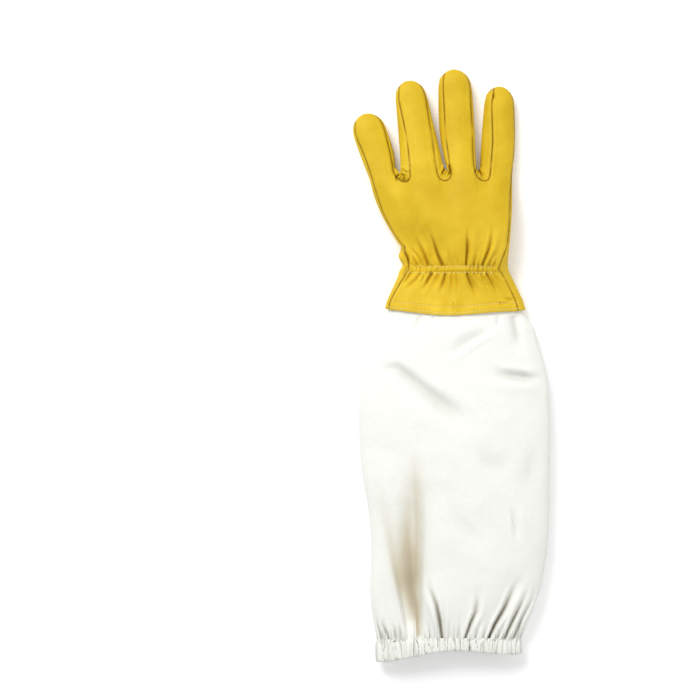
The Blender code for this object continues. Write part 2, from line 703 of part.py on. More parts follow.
def sleeve_rings():
    rings = [tucked_ring(2.0 - SLEEVE_TUCK / CUFF_LENGTH), tucked_ring(2.0)]
    inset = LEATHER + TUCK_CLEARANCE
    below = CUFF_EDGE_Y - 2.0 * CUFF_WAVE - inset
    left, right = SLEEVE_LEFTS[0] + inset, SLEEVE_RIGHTS[0] - inset
    rings.append(sleeve_ring(below, left, right, CUFF_HEIGHT - inset, inset))
    for row in SLEEVE_ROWS:
        left, right = staged(row["left"], SLEEVE_LEFTS), staged(row["right"], SLEEVE_RIGHTS)
        y = CUFF_EDGE_Y - SLEEVE_LENGTH * row["along"]
        arch = HEM_TOP_SHARE * smooth((row["along"] - 0.70) / 0.30)
        rings.append(sleeve_ring(y, left, right, SLEEVE_HEIGHT * row["height"], 0.0, row["along"], arch))
    left, right = SLEEVE_LEFTS[2], SLEEVE_RIGHTS[2]
    rings.append(sleeve_ring(CASING_Y, left, right, HEM_HEIGHT, 0.0, 1.0, HEM_TOP_SHARE))
    return rings


def build_sleeve():
    return tube(sleeve_rings())


def build_casing():
    """The elastic casing: a short pleated ring in line with the sleeve's end."""
    mesh_rings = []
    centre, half = (SLEEVE_LEFTS[2] + SLEEVE_RIGHTS[2]) / 2.0, HEM_WIDTH / 2.0
    side = 0.45 * HEM_HEIGHT
    for share, swell, pleat in ((0.0, 0.0, 0.5), (0.45, 1.0, 1.0), (1.0, 0.0, 0.8)):
        ring = []
        for step in range(2 * PLEAT_COUNT):
            angle = math.pi * step / PLEAT_COUNT
            across = math.copysign(abs(math.cos(angle)) ** (2.0 / CROWN_POWER), math.cos(angle))
            rise = abs(math.sin(angle)) ** (2.0 / CROWN_POWER)
            wave = PLEAT_DEPTH * (pleat * (-1.0) ** step + swell)
            arch = HEM_TOP_SHARE + (1.0 - HEM_TOP_SHARE) * share
            y = CASING_Y - SEAM_GAP - (HEM_DEPTH - SEAM_GAP) * share + arch * hem_arch(across)
            if math.sin(angle) > 0.0:
                z = side + (HEM_HEIGHT - side + wave) * rise
            else:
                z = side * (1.0 - min(1.0, 1.22 * rise)) + PLEAT_DEPTH * pleat * (1.0 - (-1.0) ** step)
            ring.append(Vector((centre + (half + wave) * across, y, z)))
        mesh_rings.append(ring)
    return tube(mesh_rings)


def add_wall(made, thickness):
    """Gives an open sheet its wall, towards the inside."""
    wall = made.modifiers.new("wall", "SOLIDIFY")
    wall.thickness = thickness
    wall.offset = -1.0
    wall.use_even_offset = True
    wall.use_rim = True


def main():
    for old in list(bpy.data.objects):
        bpy.data.objects.remove(old)
    collection = bpy.data.collections.new("beekeeping_glove")
    bpy.context.scene.collection.children.link(collection)
    glove = bpy.data.objects.new("glove", None)
    collection.objects.link(glove)
    skin = build_skin()
    for name in sorted(set(skin.panel_of.values())):
        leather = new_material(name + "_leather", YELLOW_LEATHER, LEATHER_ROUGHNESS)
        new_object(name, cut_panel(skin, name, LEATHER), leather, collection, glove)
    skin.mesh.free()
    sleeve_canvas = new_material("sleeve_canvas", WHITE_CANVAS, CANVAS_ROUGHNESS)
    sleeve = new_object("sleeve", build_sleeve(), sleeve_canvas, collection, glove)
    add_wall(sleeve, CANVAS)
    casing_canvas = new_material("elastic_hem_canvas", WHITE_CANVAS, CANVAS_ROUGHNESS)
    casing = new_object("elastic_hem", build_casing(), casing_canvas, collection, glove)
    add_wall(casing, CASING)


main()
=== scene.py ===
# %% [markdown]
# # A beekeeping glove, dressed
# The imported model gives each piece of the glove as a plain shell: leather panels, a thumb, a canvas sleeve
# and the casing of its elastic. This lesson turns them into leather and cloth. Each shell is smoothed, then
# pressed into the folds that the real glove has, as a sculptor would with a few strokes. Last it gets
# thread and a finish. The shells stay where they are, so the glove keeps its true size.

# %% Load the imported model
import math

import bmesh
import bpy
import numpy as np
from mathutils import Matrix, Vector, kdtree, noise
from mathutils.bvhtree import BVHTree


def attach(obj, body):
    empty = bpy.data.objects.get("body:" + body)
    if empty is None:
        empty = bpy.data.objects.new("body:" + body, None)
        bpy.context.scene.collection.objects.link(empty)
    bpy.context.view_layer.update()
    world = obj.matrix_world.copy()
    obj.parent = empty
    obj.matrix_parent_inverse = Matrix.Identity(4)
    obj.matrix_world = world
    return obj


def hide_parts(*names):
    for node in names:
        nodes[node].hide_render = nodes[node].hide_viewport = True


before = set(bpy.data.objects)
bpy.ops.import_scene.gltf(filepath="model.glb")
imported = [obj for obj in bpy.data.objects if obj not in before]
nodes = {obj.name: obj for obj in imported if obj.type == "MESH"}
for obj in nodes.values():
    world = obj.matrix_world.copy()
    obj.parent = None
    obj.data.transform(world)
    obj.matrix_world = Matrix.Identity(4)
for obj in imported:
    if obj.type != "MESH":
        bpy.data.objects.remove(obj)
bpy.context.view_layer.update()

bpy.ops.object.select_all(action="DESELECT")
print("nodes:", ", ".join(sorted(nodes)))

# %% [markdown]
# ## Smooth copies of the shells
# Leather and cloth have no flat faces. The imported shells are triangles, and a Subdivision Surface pulls
# triangles into lumps, so a copy of each shell is merged and its triangles are joined back into quads first.
# Two or three levels then give points about a millimetre apart, close enough to hold a fold. Modelling the
# glove again from nothing would also work, but it would no longer match the solids that carry it.

# %% Copy and merge a shell
MM = 0.001
SAME_PLACE = 0.02 * MM
JOIN_ACROSS = math.radians(60.0)
JOIN_SHAPE = math.radians(70.0)


def merged_copy(node):
    """A copy of a shell's mesh, with its loose triangles merged and joined into quads."""
    mesh = bmesh.new()
    mesh.from_mesh(nodes[node].data)
    bmesh.ops.remove_doubles(mesh, verts=mesh.verts, dist=SAME_PLACE)
    bmesh.ops.join_triangles(
        mesh,
        faces=mesh.faces,
        angle_face_threshold=JOIN_ACROSS,
        angle_shape_threshold=JOIN_SHAPE,
    )
    return mesh


def apply_modifier(piece, kind, **settings):
    """Adds a modifier with its settings and applies it."""
    bpy.context.view_layer.objects.active = piece
    piece.select_set(True)
    added = piece.modifiers.new("step", kind)
    for key, value in settings.items():
        setattr(added, key, value)
    bpy.ops.object.modifier_apply(modifier=added.name)
    piece.select_set(False)


def new_piece(name, mesh):
    """Puts a bmesh into a new object at the origin."""
    data = bpy.data.meshes.new(name)
    mesh.to_mesh(data)
    mesh.free()
    made = bpy.data.objects.new(name, data)
    bpy.context.scene.collection.objects.link(made)
    return made


# %% Subdivide a shell, and keep its rims
SHARP_RIM = math.radians(60.0)
RIM_CREASE = 0.55
LEVELLING_ROUNDS = 3


def smooth_shell(node, name, levels, level_between=None):
    """A finely divided copy of a shell. Between two heights along y, its points level out first."""
    mesh = merged_copy(node)
    if level_between:
        low, high = level_between
        chosen = [vert for vert in mesh.verts if low * MM < vert.co.y < high * MM]
        for _ in range(LEVELLING_ROUNDS):
            bmesh.ops.smooth_vert(
                mesh, verts=chosen, factor=0.5, use_axis_x=False, use_axis_y=False, use_axis_z=True
            )
    crease = mesh.edges.layers.float.get("crease_edge") or mesh.edges.layers.float.new("crease_edge")
    for edge in mesh.edges:
        if len(edge.link_faces) == 2 and edge.calc_face_angle() > SHARP_RIM:
            edge[crease] = RIM_CREASE
    piece = new_piece(name, mesh)
    apply_modifier(piece, "SUBSURF", levels=levels, render_levels=levels)
    piece.data.shade_smooth()
    print(name, len(piece.data.polygons), "faces")
    return piece


# %% [markdown]
# A fold moves thousands of points by a formula, which a loop in Python does slowly. Numpy reads and writes
# all points of a mesh at once, and is quick enough for hundreds of thousands of them.

# %% Read and write a piece's points
def points_of(piece):
    flat = np.empty(len(piece.data.vertices) * 3)
    piece.data.vertices.foreach_get("co", flat)
    return flat.reshape(-1, 3)


def set_points(piece, points):
    piece.data.vertices.foreach_set("co", np.ascontiguousarray(points).ravel())
    piece.data.update()


def normals_of(piece):
    flat = np.empty(len(piece.data.vertices) * 3)
    piece.data.vertices.foreach_get("normal", flat)
    return flat.reshape(-1, 3)


def keep_attribute(piece, name, values):
    layer = piece.data.attributes.new(name, "FLOAT", "POINT")
    layer.data.foreach_set("value", np.ascontiguousarray(values, dtype=np.float32))


def rise(value):
    """0 below 0, 1 above 1, and an even rise between them."""
    held = np.clip(value, 0.0, 1.0)
    return held * held * (3.0 - 2.0 * held)


def rumple(points, size, seed):
    """Smooth uneven noise from about -1 to 1, with lumps of a size in millimetres."""
    shift = Vector((seed * 7.3, seed * 3.1, seed * 5.7))
    return np.array([noise.noise(Vector(point) / (size * MM) + shift) for point in points])


# %% [markdown]
# ## Strokes that press folds
# A fold in leather or cloth is a valley with a raised lip on each side. It starts deep and narrow where the
# material is held, and gets wider and shallower as it runs out. A stroke gives a fold's path over the
# surface, in millimetres seen from above: x to the index finger's side, y to the fingertips. The first
# point is where the fold is held. Width and depth are in millimetres too, and a fold may lean to one side.

# %% Describe a stroke
def stroke(path, width, depth, opens=1.0, lean=0.0, lip=0.35, start=0.01, end=0.75, crisp=0.0):
    """One fold. At the end of its path it is opens times as wide as at its start, and lean widens one side.

    lip is the height of the raised sides, as a share of the depth. start and end are the shares of the path
    over which the fold comes in and runs out. crisp turns a round valley, at 0, into a sharp V, at 1.
    """
    return dict(
        path=path, width=width, depth=depth, opens=opens, lean=lean,
        lip=lip, start=start, end=end, crisp=crisp,
    )


# %% Work out the height that strokes give
ROUND_VALLEY_POWER = 1.7  # 2 would be a bell curve, and less has a narrower bottom
V_STEEPNESS = 1.5
LIP_AT_WIDTHS = 1.9  # the lips stand this many widths from the path
HELD_END = 0.02  # keeps a fold's first point from being quite flat
REACH_IN_WIDTHS = 4.0  # points farther than this from a path's box are left out


def one_stroke(points, fold):
    """The height of one fold at each point, in millimetres."""
    path = np.array(fold["path"], dtype=float)
    runs = np.diff(path, axis=0)
    lengths = np.linalg.norm(runs, axis=1)
    passed = np.concatenate([[0.0], np.cumsum(lengths)])
    nearest = np.full(len(points), np.inf)
    side = np.zeros(len(points))
    share = np.zeros(len(points))
    for begin, run, length, before in zip(path, runs, lengths, passed):
        offset = points - begin
        along = np.clip(offset @ run / length**2, 0.0, 1.0)
        away = offset - along[:, None] * run
        distance = np.linalg.norm(away, axis=1)
        closer = distance < nearest
        nearest[closer] = distance[closer]
        side[closer] = np.sign(run[0] * away[:, 1] - run[1] * away[:, 0])[closer]
        share[closer] = ((before + along * length) / passed[-1])[closer]
    width = fold["width"] * (1.0 + (fold["opens"] - 1.0) * share) * (1.0 + fold["lean"] * side)
    spread = nearest / width
    rounded = np.exp(-(spread**ROUND_VALLEY_POWER))
    sharp = np.exp(-V_STEEPNESS * spread)
    valley = (1.0 - fold["crisp"]) * rounded + fold["crisp"] * sharp
    section = fold["lip"] * np.exp(-((spread - LIP_AT_WIDTHS) ** 2)) - valley
    comes_in = rise(share / fold["start"] + HELD_END)
    runs_out = rise((1.0 - share) / fold["end"])
    return fold["depth"] * section * comes_in * runs_out


def stroke_height(points, folds):
    """How far all folds lift each point, in metres: valleys are below 0."""
    flat = points[:, :2] / MM
    height = np.zeros(len(points))
    for fold in folds:
        path = np.array(fold["path"], dtype=float)
        reach = REACH_IN_WIDTHS * fold["width"] * max(1.0, fold["opens"])
        near = np.all((flat > path.min(axis=0) - reach) & (flat < path.max(axis=0) + reach), axis=1)
        height[near] += one_stroke(flat[near], fold) * MM
    return height


# %% [markdown]
# ## The leather hand
# The hand is cut from goatskin, about 1.2 mm thick. Elastic sewn across the wrist draws the back in, and the
# leather above and below it fans out in folds: a few deep ones, and short ones between them.

# %% Wrist folds, above and below the elastic
FOLDS_ABOVE = [
    stroke([(-6.4, 82.5), (-11, 91.9), (-14.7, 102.9), (-18.4, 112), (-21, 122)], 2.0, 3.4, 2.2, 0.5),
    stroke([(-12.4, 82.5), (-16, 92), (-20.5, 103), (-25, 115)], 1.6, 1.8, 2.2, 0.0),
    stroke([(-18.4, 82.5), (-22, 92), (-27.5, 101.5), (-32, 110)], 1.5, 2.8, 1.8, 0.3),
    stroke([(-23.2, 82.5), (-25.5, 88), (-30, 93.5), (-36, 95.5)], 1.2, 2.2, 1.6, 0.2),
    stroke([(-28, 83.5), (-31.2, 88.8), (-35.5, 92)], 1.1, 2.0, 1.4),
    stroke([(-32, 82.5), (-35, 86)], 1.0, 1.4, 1.4),
    stroke([(-1.4, 83.5), (-2.2, 90), (-4, 98)], 1.2, 0.9, 1.8),
    stroke([(5.2, 83.5), (5.0, 90)], 1.2, 0.8, 1.6),
    stroke([(3.5, 86), (3.5, 96), (2.5, 108)], 6.0, -0.9, start=0.4, end=0.5),
    stroke([(-33, 104), (-26, 122), (-20, 138)], 3.5, 0.7, 1.3, start=0.3, end=0.6),
    stroke([(11.8, 82.5), (12.6, 94), (13.0, 106), (13.6, 120)], 1.5, 2.8, 2.0, -0.4),
    stroke([(18.2, 82.5), (20.3, 90), (22.4, 99)], 1.2, 1.6, 1.8),
    stroke([(24.8, 82.5), (27.5, 88.5), (31.3, 98.3), (33.6, 108), (34.6, 120)], 1.5, 2.6, 2.0, -0.3),
    stroke([(30.2, 82.5), (33.2, 88.5), (37.5, 95)], 1.1, 1.9, 1.6),
    stroke([(34.6, 82.5), (37.6, 87)], 1.0, 1.2, 1.5),
]
FOLDS_BELOW = [
    stroke([(-33, 76.5), (-38, 69), (-43, 63)], 1.2, 1.6, 1.6),
    stroke([(-25.7, 76.5), (-29, 71), (-35, 65), (-42.3, 61)], 1.8, 2.2, 2.0, 0.3),
    stroke([(-20.6, 76.5), (-24, 70), (-29.5, 63)], 1.2, 1.4, 1.8),
    stroke([(-15.2, 76.5), (-17.5, 73), (-22, 65.4), (-26.3, 57)], 2.0, 2.8, 2.0, -0.4),
    stroke([(-10, 76.5), (-12.4, 70), (-15, 62)], 1.1, 1.2, 1.8),
    stroke([(-4.6, 76.5), (-7.3, 65.4), (-10.3, 56)], 1.5, 2.2, 1.8, 0.2),
    stroke([(0.4, 76.5), (0.9, 66), (0.9, 55)], 1.2, 1.2, 1.8),
    stroke([(4.1, 76.5), (5.2, 66), (5.6, 57)], 1.1, 1.2, 1.8),
    stroke([(12.4, 76.5), (14.6, 70), (17.6, 64), (23.2, 53.2)], 1.8, 2.7, 2.0, 0.5),
    stroke([(18.4, 76.5), (22, 70), (27, 64)], 1.2, 1.6, 1.8),
    stroke([(28.4, 76.5), (34, 67), (38.4, 60), (42, 55)], 1.5, 2.4, 1.8, 0.3),
    stroke([(23.6, 76.5), (28, 68), (33, 59)], 1.2, 1.5, 1.8, 0.2),
    stroke([(34.4, 76), (39.5, 69), (45.5, 60)], 1.1, 1.4, 1.6),
]
WRIST_CRISP = 0.6
WRIST_LIP = 0.45
WRIST_NARROWER = 0.8
for fold in FOLDS_ABOVE + FOLDS_BELOW:
    fold["crisp"] = WRIST_CRISP
    fold["lip"] = WRIST_LIP
    fold["width"] *= WRIST_NARROWER
print(len(FOLDS_ABOVE) + len(FOLDS_BELOW), "wrist folds")

# %% [markdown]
# Two rows of stitching hold the elastic. Between them the leather is packed into ruffles about 3 mm apart,
# too regular to press one by one, so a wave makes them, with its spacing pushed to and fro a little.

# %% Ruffles and grooves between the two rows of stitching
WRIST_ROWS_Y = (82.0, 76.8)
WRIST_ROW_X = (-35.0, 38.5)
WRIST_MIDDLE_Y = sum(WRIST_ROWS_Y) / 2.0
RUFFLE_APART = 3.1
RUFFLE_DEPTH = 2.2
BAND_PUFF = 0.75
ROW_GROOVE = 0.7


def hump(away, spread):
    """A smooth hump: 1 in its middle, and almost 0 at twice its spread."""
    return np.exp(-((away / spread) ** 2))


def wrist_band_height(points):
    """Ruffles across the band, shallow in its middle, with a groove along each row of stitches."""
    x = points[:, 0] / MM
    y = points[:, 1] / MM
    # The wander pushes the ruffles to and fro, strength makes some deeper, and mid-wrist all are shallower.
    across = rise((x - WRIST_ROW_X[0] + 2.0) / 4.0) * rise((WRIST_ROW_X[1] + 2.0 - x) / 4.0)
    wander = 1.1 * np.sin(x / 5.3) + 0.7 * np.sin(x / 2.9 + 1.0)
    strength = 0.75 + 0.25 * np.sin(x / 3.7 + 2.0)
    ruffle = 1.0 - np.abs(np.sin(math.pi * (x + wander) / RUFFLE_APART)) ** 0.6
    sides = 0.35 + 0.65 * rise((np.abs(x - 1.0) - 5.0) / 8.0)
    height = -RUFFLE_DEPTH * ruffle * strength * sides * hump(y - WRIST_MIDDLE_Y, 5.0)
    height += BAND_PUFF * hump(y - WRIST_MIDDLE_Y, 1.9)
    for row in WRIST_ROWS_Y:
        height -= ROW_GROOVE * hump(y - row, 0.9)
    return height * across * MM


# %% [markdown]
# The cuff's edge is turned under and sewn, so it lies double: it puffs up below its upper row of stitches and
# flutes a little where the cuff flares. It isn't straight, and the thread has to follow it, so one function
# gives its line to both. At the little finger's side the elastic ends, and the spare leather crumples there.

# %% The cuff's edge: its line, its groove and its flutes
CUFF_MIDDLE_X = 3.8
CUFF_HALF_WIDTH = 58.35
CUFF_LOWEST_Y = 44.0
CUFF_CORNERS_RISE = 4.0
CUFF_WAVE = 1.1
CUFF_WAVE_CREST = 0.59
CUFF_WAVE_LENGTH = 1.37
UPPER_ROW = 7.0
LOWER_ROW = 1.8
FLUTE_DEPTH = 0.85


def cuff_line(x):
    """The cuff's lower edge: y at a place x, both in millimetres."""
    across = (x - CUFF_MIDDLE_X) / CUFF_HALF_WIDTH
    turn = 2.0 * math.pi * (across - CUFF_WAVE_CREST) / CUFF_WAVE_LENGTH
    wave = CUFF_WAVE * (1.0 - np.cos(turn))
    return CUFF_LOWEST_Y + CUFF_CORNERS_RISE * across**4 - wave


def hem_height(points):
    """A groove along the upper row of stitches, a puffed edge below it, and flutes where the cuff flares."""
    x = points[:, 0] / MM
    from_row = points[:, 1] / MM - cuff_line(x) - UPPER_ROW
    groove = -0.6 * hump(from_row + 0.1, 0.9) + 0.35 * hump(from_row + 3.4, 1.9)
    flutes = FLUTE_DEPTH * np.sin(x / 2.9 + 1.4 * np.sin(x / 7.3)) * hump(from_row, 6.0)
    return (groove + flutes * (0.6 + 0.4 * np.sin(x / 11.0 + 1.0))) * MM


# %% The crumple at the wrist's outer side
CRUMPLE_INSIDE_X = -35.5
# Each bump's y, its spread, and how far it moves the edge.
CRUMPLE_BUMPS = [(90.5, 3.6, -2.2), (98.2, 2.0, 1.7), (83.2, 2.2, 1.3), (77.5, 2.6, -0.9)]
SIDE_CRUMPLE = [
    stroke([(-41.5, 99), (-37.6, 94), (-35.4, 88), (-35.2, 83), (-37.5, 77), (-42, 71)], 1.3, 2.0,
           crisp=0.6, end=0.3),
    stroke([(-43, 94), (-40.2, 90), (-38.6, 85)], 2.4, -1.6, lip=0.0, start=0.4, end=0.4),
    stroke([(-44, 87), (-41, 84), (-37, 82.5)], 0.9, 1.5, start=0.2, end=0.5, crisp=0.6),
    stroke([(-44, 98), (-41.5, 97), (-39, 94.5)], 0.9, 1.4, start=0.2, end=0.5, crisp=0.6),
]


def side_crumple(points):
    """How far the gathered edge stands out or dips in along x, on the little finger's side of the wrist."""
    moved = 0.0
    for y, spread, moves in CRUMPLE_BUMPS:
        moved = moved + moves * hump(points[:, 1] / MM - y, spread)
    return moved * rise((CRUMPLE_INSIDE_X - points[:, 0] / MM) / 4.0) * MM


print(len(SIDE_CRUMPLE), "creases in the crumple")

# %% [markdown]
# Where three edges meet at the fork between two fingers, the turned seam curls into a small knot. Each knot
# is different, so its creases are pressed one by one. A few shallow dents come from folding and handling.

# %% Creases at the forks, and dents
FORK_DEEPER = 1.7


def curl(path, depth=1.5, opens=0.9, width=0.8, lip=0.8, end=0.4):
    """A short, sharp crease with high lips."""
    return stroke(path, width, FORK_DEEPER * depth, opens, 0.0, lip, 0.05, end, crisp=0.3)


FORK_CREASES = [
    curl([(-42.3, 159.5), (-42.8, 162), (-44.3, 167)], 1.3, 0.8, width=0.7, lip=0.6),
    curl([(-42.2, 157.5), (-44.7, 155.6), (-46.6, 152.4)]),
    curl([(-41.6, 161.6), (-38.5, 160.2), (-34.6, 158.6)], 1.3, 0.8, end=0.3),
    curl([(-41.6, 157.6), (-39, 156.6), (-38.2, 153.4), (-40.2, 151.6)], end=0.3),
    curl([(-4.7, 166), (-5.8, 161.4), (-7.4, 158.8), (-7.5, 155)]),
    curl([(-4.2, 166.2), (-1.4, 164), (-0.8, 159.7), (-2.9, 154.4)]),
    curl([(21.6, 163.2), (24.2, 159), (26.6, 154.6)]),
    curl([(20.6, 162.6), (19.6, 159.6), (18, 157.4)], 1.2),
]
HAND_DENTS = [
    stroke([(-30, 141), (-10, 138), (12, 141)], 9.0, 0.6, lip=0.2, start=0.4, end=0.4),
    stroke([(-57, 150), (-50, 131), (-42, 116)], 5.0, 0.6, lip=0.3, start=0.4, end=0.4),
    stroke([(14, 147), (16, 138), (20, 128)], 5.0, 0.5, lip=0.3, start=0.4, end=0.4),
    stroke([(38, 150), (40, 130), (44, 112)], 6.0, 0.7, lip=0.3, start=0.4, end=0.4),
    stroke([(30.5, 226), (34.1, 222.9), (33.4, 214)], 1.3, 1.9, lip=0.15, start=0.3, end=0.5, crisp=0.4),
    stroke([(37.5, 227), (34.8, 223), (37.2, 217)], 1.2, 1.6, lip=0.15, start=0.3, end=0.5, crisp=0.4),
    stroke([(1.2, 52.5), (2.4, 49), (2.0, 44.5)], 0.8, 1.1, start=0.1, end=0.3, crisp=0.6),
    stroke([(37.5, 52.5), (42.5, 50.5), (47, 51.5)], 1.2, 1.0, lip=0.6, start=0.3, end=0.5, crisp=0.4),
    stroke([(43, 56.5), (48, 54), (53.5, 55.5)], 1.2, 1.1, lip=0.6, start=0.3, end=0.5, crisp=0.4),
    stroke([(-44, 196), (-40, 192), (-36, 193)], 3.0, 0.4, lip=0.4, start=0.4, end=0.4),
    stroke([(-6, 205), (0, 203), (8, 205)], 3.5, 0.4, lip=0.4, start=0.4, end=0.4),
]
print(len(FORK_CREASES), "creases at the forks,", len(HAND_DENTS), "dents")

# %% The knots at the forks
KNOTS = [(-40.8, 155.2, 3.4), (-4.4, 158.8, 3.0), (23.6, 157.4, 3.2)]
KNOT_HEIGHT = 1.6
KNOT_POWER = 2.5


def knot_height(points):
    """A small bulge at each fork, for the creases to cut into: x, y and radius in millimetres."""
    height = np.zeros(len(points))
    for x, y, radius in KNOTS:
        away = np.hypot(points[:, 0] / MM - x, points[:, 1] / MM - y) / radius
        height += KNOT_HEIGHT * MM * np.exp(-(away**KNOT_POWER))
    return height


print(len(KNOTS), "knots")

# %% [markdown]
# Every panel edge is sewn inside out and turned, so the leather swells beside a seam and dips at it. A
# sewn edge is wherever a panel lies within a hair of its neighbour. The distance of each point to it is
# kept as an attribute, for the swelling and for the darker line of shadow and dirt along a seam.

# %% Find the sewn edges
PANELS = [name for name in nodes if name not in ("sleeve", "elastic_hem")]
SEWN_WITHIN = 0.9 * MM
STEP_ALONG_EDGE = 0.7 * MM


def tree_of(places):
    """A tree that finds the nearest of these places quickly."""
    tree = kdtree.KDTree(len(places))
    for index, place in enumerate(places):
        tree.insert(place, index)
    tree.balance()
    return tree


def sewn_edge(node):
    """Places about 0.7 mm apart along a panel's sewn edges, and the way from each to the neighbour's edge."""
    neighbours = [nodes[other].data for other in PANELS if other != node]
    others = tree_of([vert.co.copy() for neighbour in neighbours for vert in neighbour.vertices])
    mesh = merged_copy(node)
    partner = {}
    for vert in mesh.verts:
        place, _, gap = others.find(vert.co)
        if gap < SEWN_WITHIN:
            partner[vert] = place - vert.co
    places, ways = [], []
    for edge in mesh.edges:
        first, second = edge.verts
        if first in partner and second in partner:
            steps = max(1, int(edge.calc_length() / STEP_ALONG_EDGE))
            for step in range(steps + 1):
                places.append(first.co.lerp(second.co, step / steps))
                ways.append(partner[first].lerp(partner[second], step / steps))
    mesh.free()
    return places, ways


# %% [markdown]
# A leather piece gets its shape in four steps. Its sewn edges close up to the neighbours' edges. The leather
# swells and puckers beside them, along its normals, and is a little uneven everywhere. The strokes press its
# upper side straight down, and only that side, because the underside lies flat on the table. Last, nothing
# may sink into the table.

# %% Dress a leather panel
CLOSING_SHARE = 0.75
SEAM_SWELL = 0.40
SWELL_AT = 2.2
SEAM_DIP = 0.25
SEAM_PUCKER = 0.25
BROAD_LUMPS = (0.45, 22.0)  # height and size of the wide unevenness
SMALL_LUMPS = (0.18, 7.0)
UPPER_SIDE_FROM = 5.0 * MM
CLEAR_OF_TABLE = 0.05 * MM
CREASE_SHOWS_FROM = 0.7
CREASE_DEEPEST = 3.0
BAND_SHADE = 0.7


def dress_leather(node, name, levels, folds, seed, level_between=None):
    """Copies a leather shell and gives it folds, swollen seams and a slightly uneven surface."""
    piece = smooth_shell(node, name, levels, level_between)
    points = points_of(piece)
    out = normals_of(piece)
    places, ways = sewn_edge(node)
    edge = tree_of(places)
    found = [edge.find(Vector(point))[1:] for point in points]
    distance = np.array([gap for _, gap in found]) / MM
    towards = np.array([ways[index] for index, _ in found])
    points += towards * (CLOSING_SHARE * hump(distance, 0.9))[:, None]
    upper = rise(points[:, 2] / UPPER_SIDE_FROM)
    pressed = stroke_height(points, folds)
    swell = SEAM_SWELL * hump(distance - SWELL_AT, 1.5) - SEAM_DIP * hump(distance, 0.8)
    pucker = SEAM_PUCKER * hump(distance, 3.0) * rumple(points, 3.0, seed)
    broad = BROAD_LUMPS[0] * rumple(points, BROAD_LUMPS[1], seed + 1)
    broad += SMALL_LUMPS[0] * rumple(points, SMALL_LUMPS[1], seed + 2)
    knot = knot_height(points) if node.startswith("fourchette") else 0.0
    points += out * ((swell + pucker) * upper * MM)[:, None]
    points[:, 2] += (pressed * rise(distance / 1.5 + 0.4) + knot + broad * MM) * upper
    points[:, 0] += side_crumple(points)
    if node == "back_panel":
        band = wrist_band_height(points) + hem_height(points)
        points[:, 2] += band
        pressed = pressed + BAND_SHADE * np.minimum(band, 0.0)
    points[:, 2] = np.maximum(points[:, 2], CLEAR_OF_TABLE)
    set_points(piece, points)
    keep_attribute(piece, "seam_distance", distance)
    # The crease attribute is painted shade: it darkens the fold valleys and the wrist band's ruffles.
    keep_attribute(piece, "crease", np.clip(-pressed / MM - CREASE_SHOWS_FROM, 0.0, CREASE_DEEPEST))
    return piece


# %% Dress the back, the palm, the thumb and the strips between the fingers
UPPER_FOLDS = FOLDS_ABOVE + FOLDS_BELOW + HAND_DENTS + FORK_CREASES + SIDE_CRUMPLE
WRIST_LEVELLED = (52.0, 112.0)  # the shell's own plain gathers make way for the strokes here
back = dress_leather("back_panel", "leather_back", 3, UPPER_FOLDS, 1, WRIST_LEVELLED)
palm = dress_leather("palm_panel", "leather_palm", 2, SIDE_CRUMPLE, 5)
thumb = dress_leather("thumb", "leather_thumb", 2, [], 9)
strips = [
    dress_leather("fourchette_" + fingers, "leather_strip_" + fingers, 3, FORK_CREASES, 11 + number)
    for number, fingers in enumerate(("little_ring", "ring_middle", "middle_index"))
]

# %% [markdown]
# ## The canvas sleeve
# The sleeve is a tube of cotton canvas about 1 mm thick, cut wider than the cuff and drawn in by elastic at
# its end. It lies half empty, so its upper side sinks between its folds: a long valley from the elastic
# towards the elbow, slanting folds below the cuff, and a fan of pleats above the elastic. A cloth simulation
# would give other folds at each change of its settings, so strokes press the ones that the glove has.

# %% Folds of the sleeve
LONG_VALLEY = [
    stroke([(-30.5, -226), (-32, -205), (-35.5, -180), (-39, -150), (-42, -118), (-45, -84)],
           8.5, 6.5, 1.5, lip=0.1, start=0.14, end=0.65),
    stroke([(-34.9, -226), (-37.5, -205), (-41.8, -183), (-47, -160), (-51.5, -144), (-59.8, -105)],
           2.1, 2.2, 2.4, -0.3, 0.4, crisp=0.1),
    stroke([(-25.2, -226), (-25.9, -214), (-26.6, -196), (-26.8, -175), (-26.1, -158), (-25.6, -111),
            (-30.8, -62)], 2.3, 2.0, 2.2, 0.3, 0.3, end=0.6),
]
PLEAT_CRISP = 0.25
PLEATS_DEEPER = 1.35


def pleat(path, width, depth, opens=2.0, lean=0.0):
    """A pleat that the elastic holds: sharp, and between two high lips."""
    return stroke(path, width, PLEATS_DEEPER * depth, opens, lean, lip=0.5, crisp=PLEAT_CRISP)


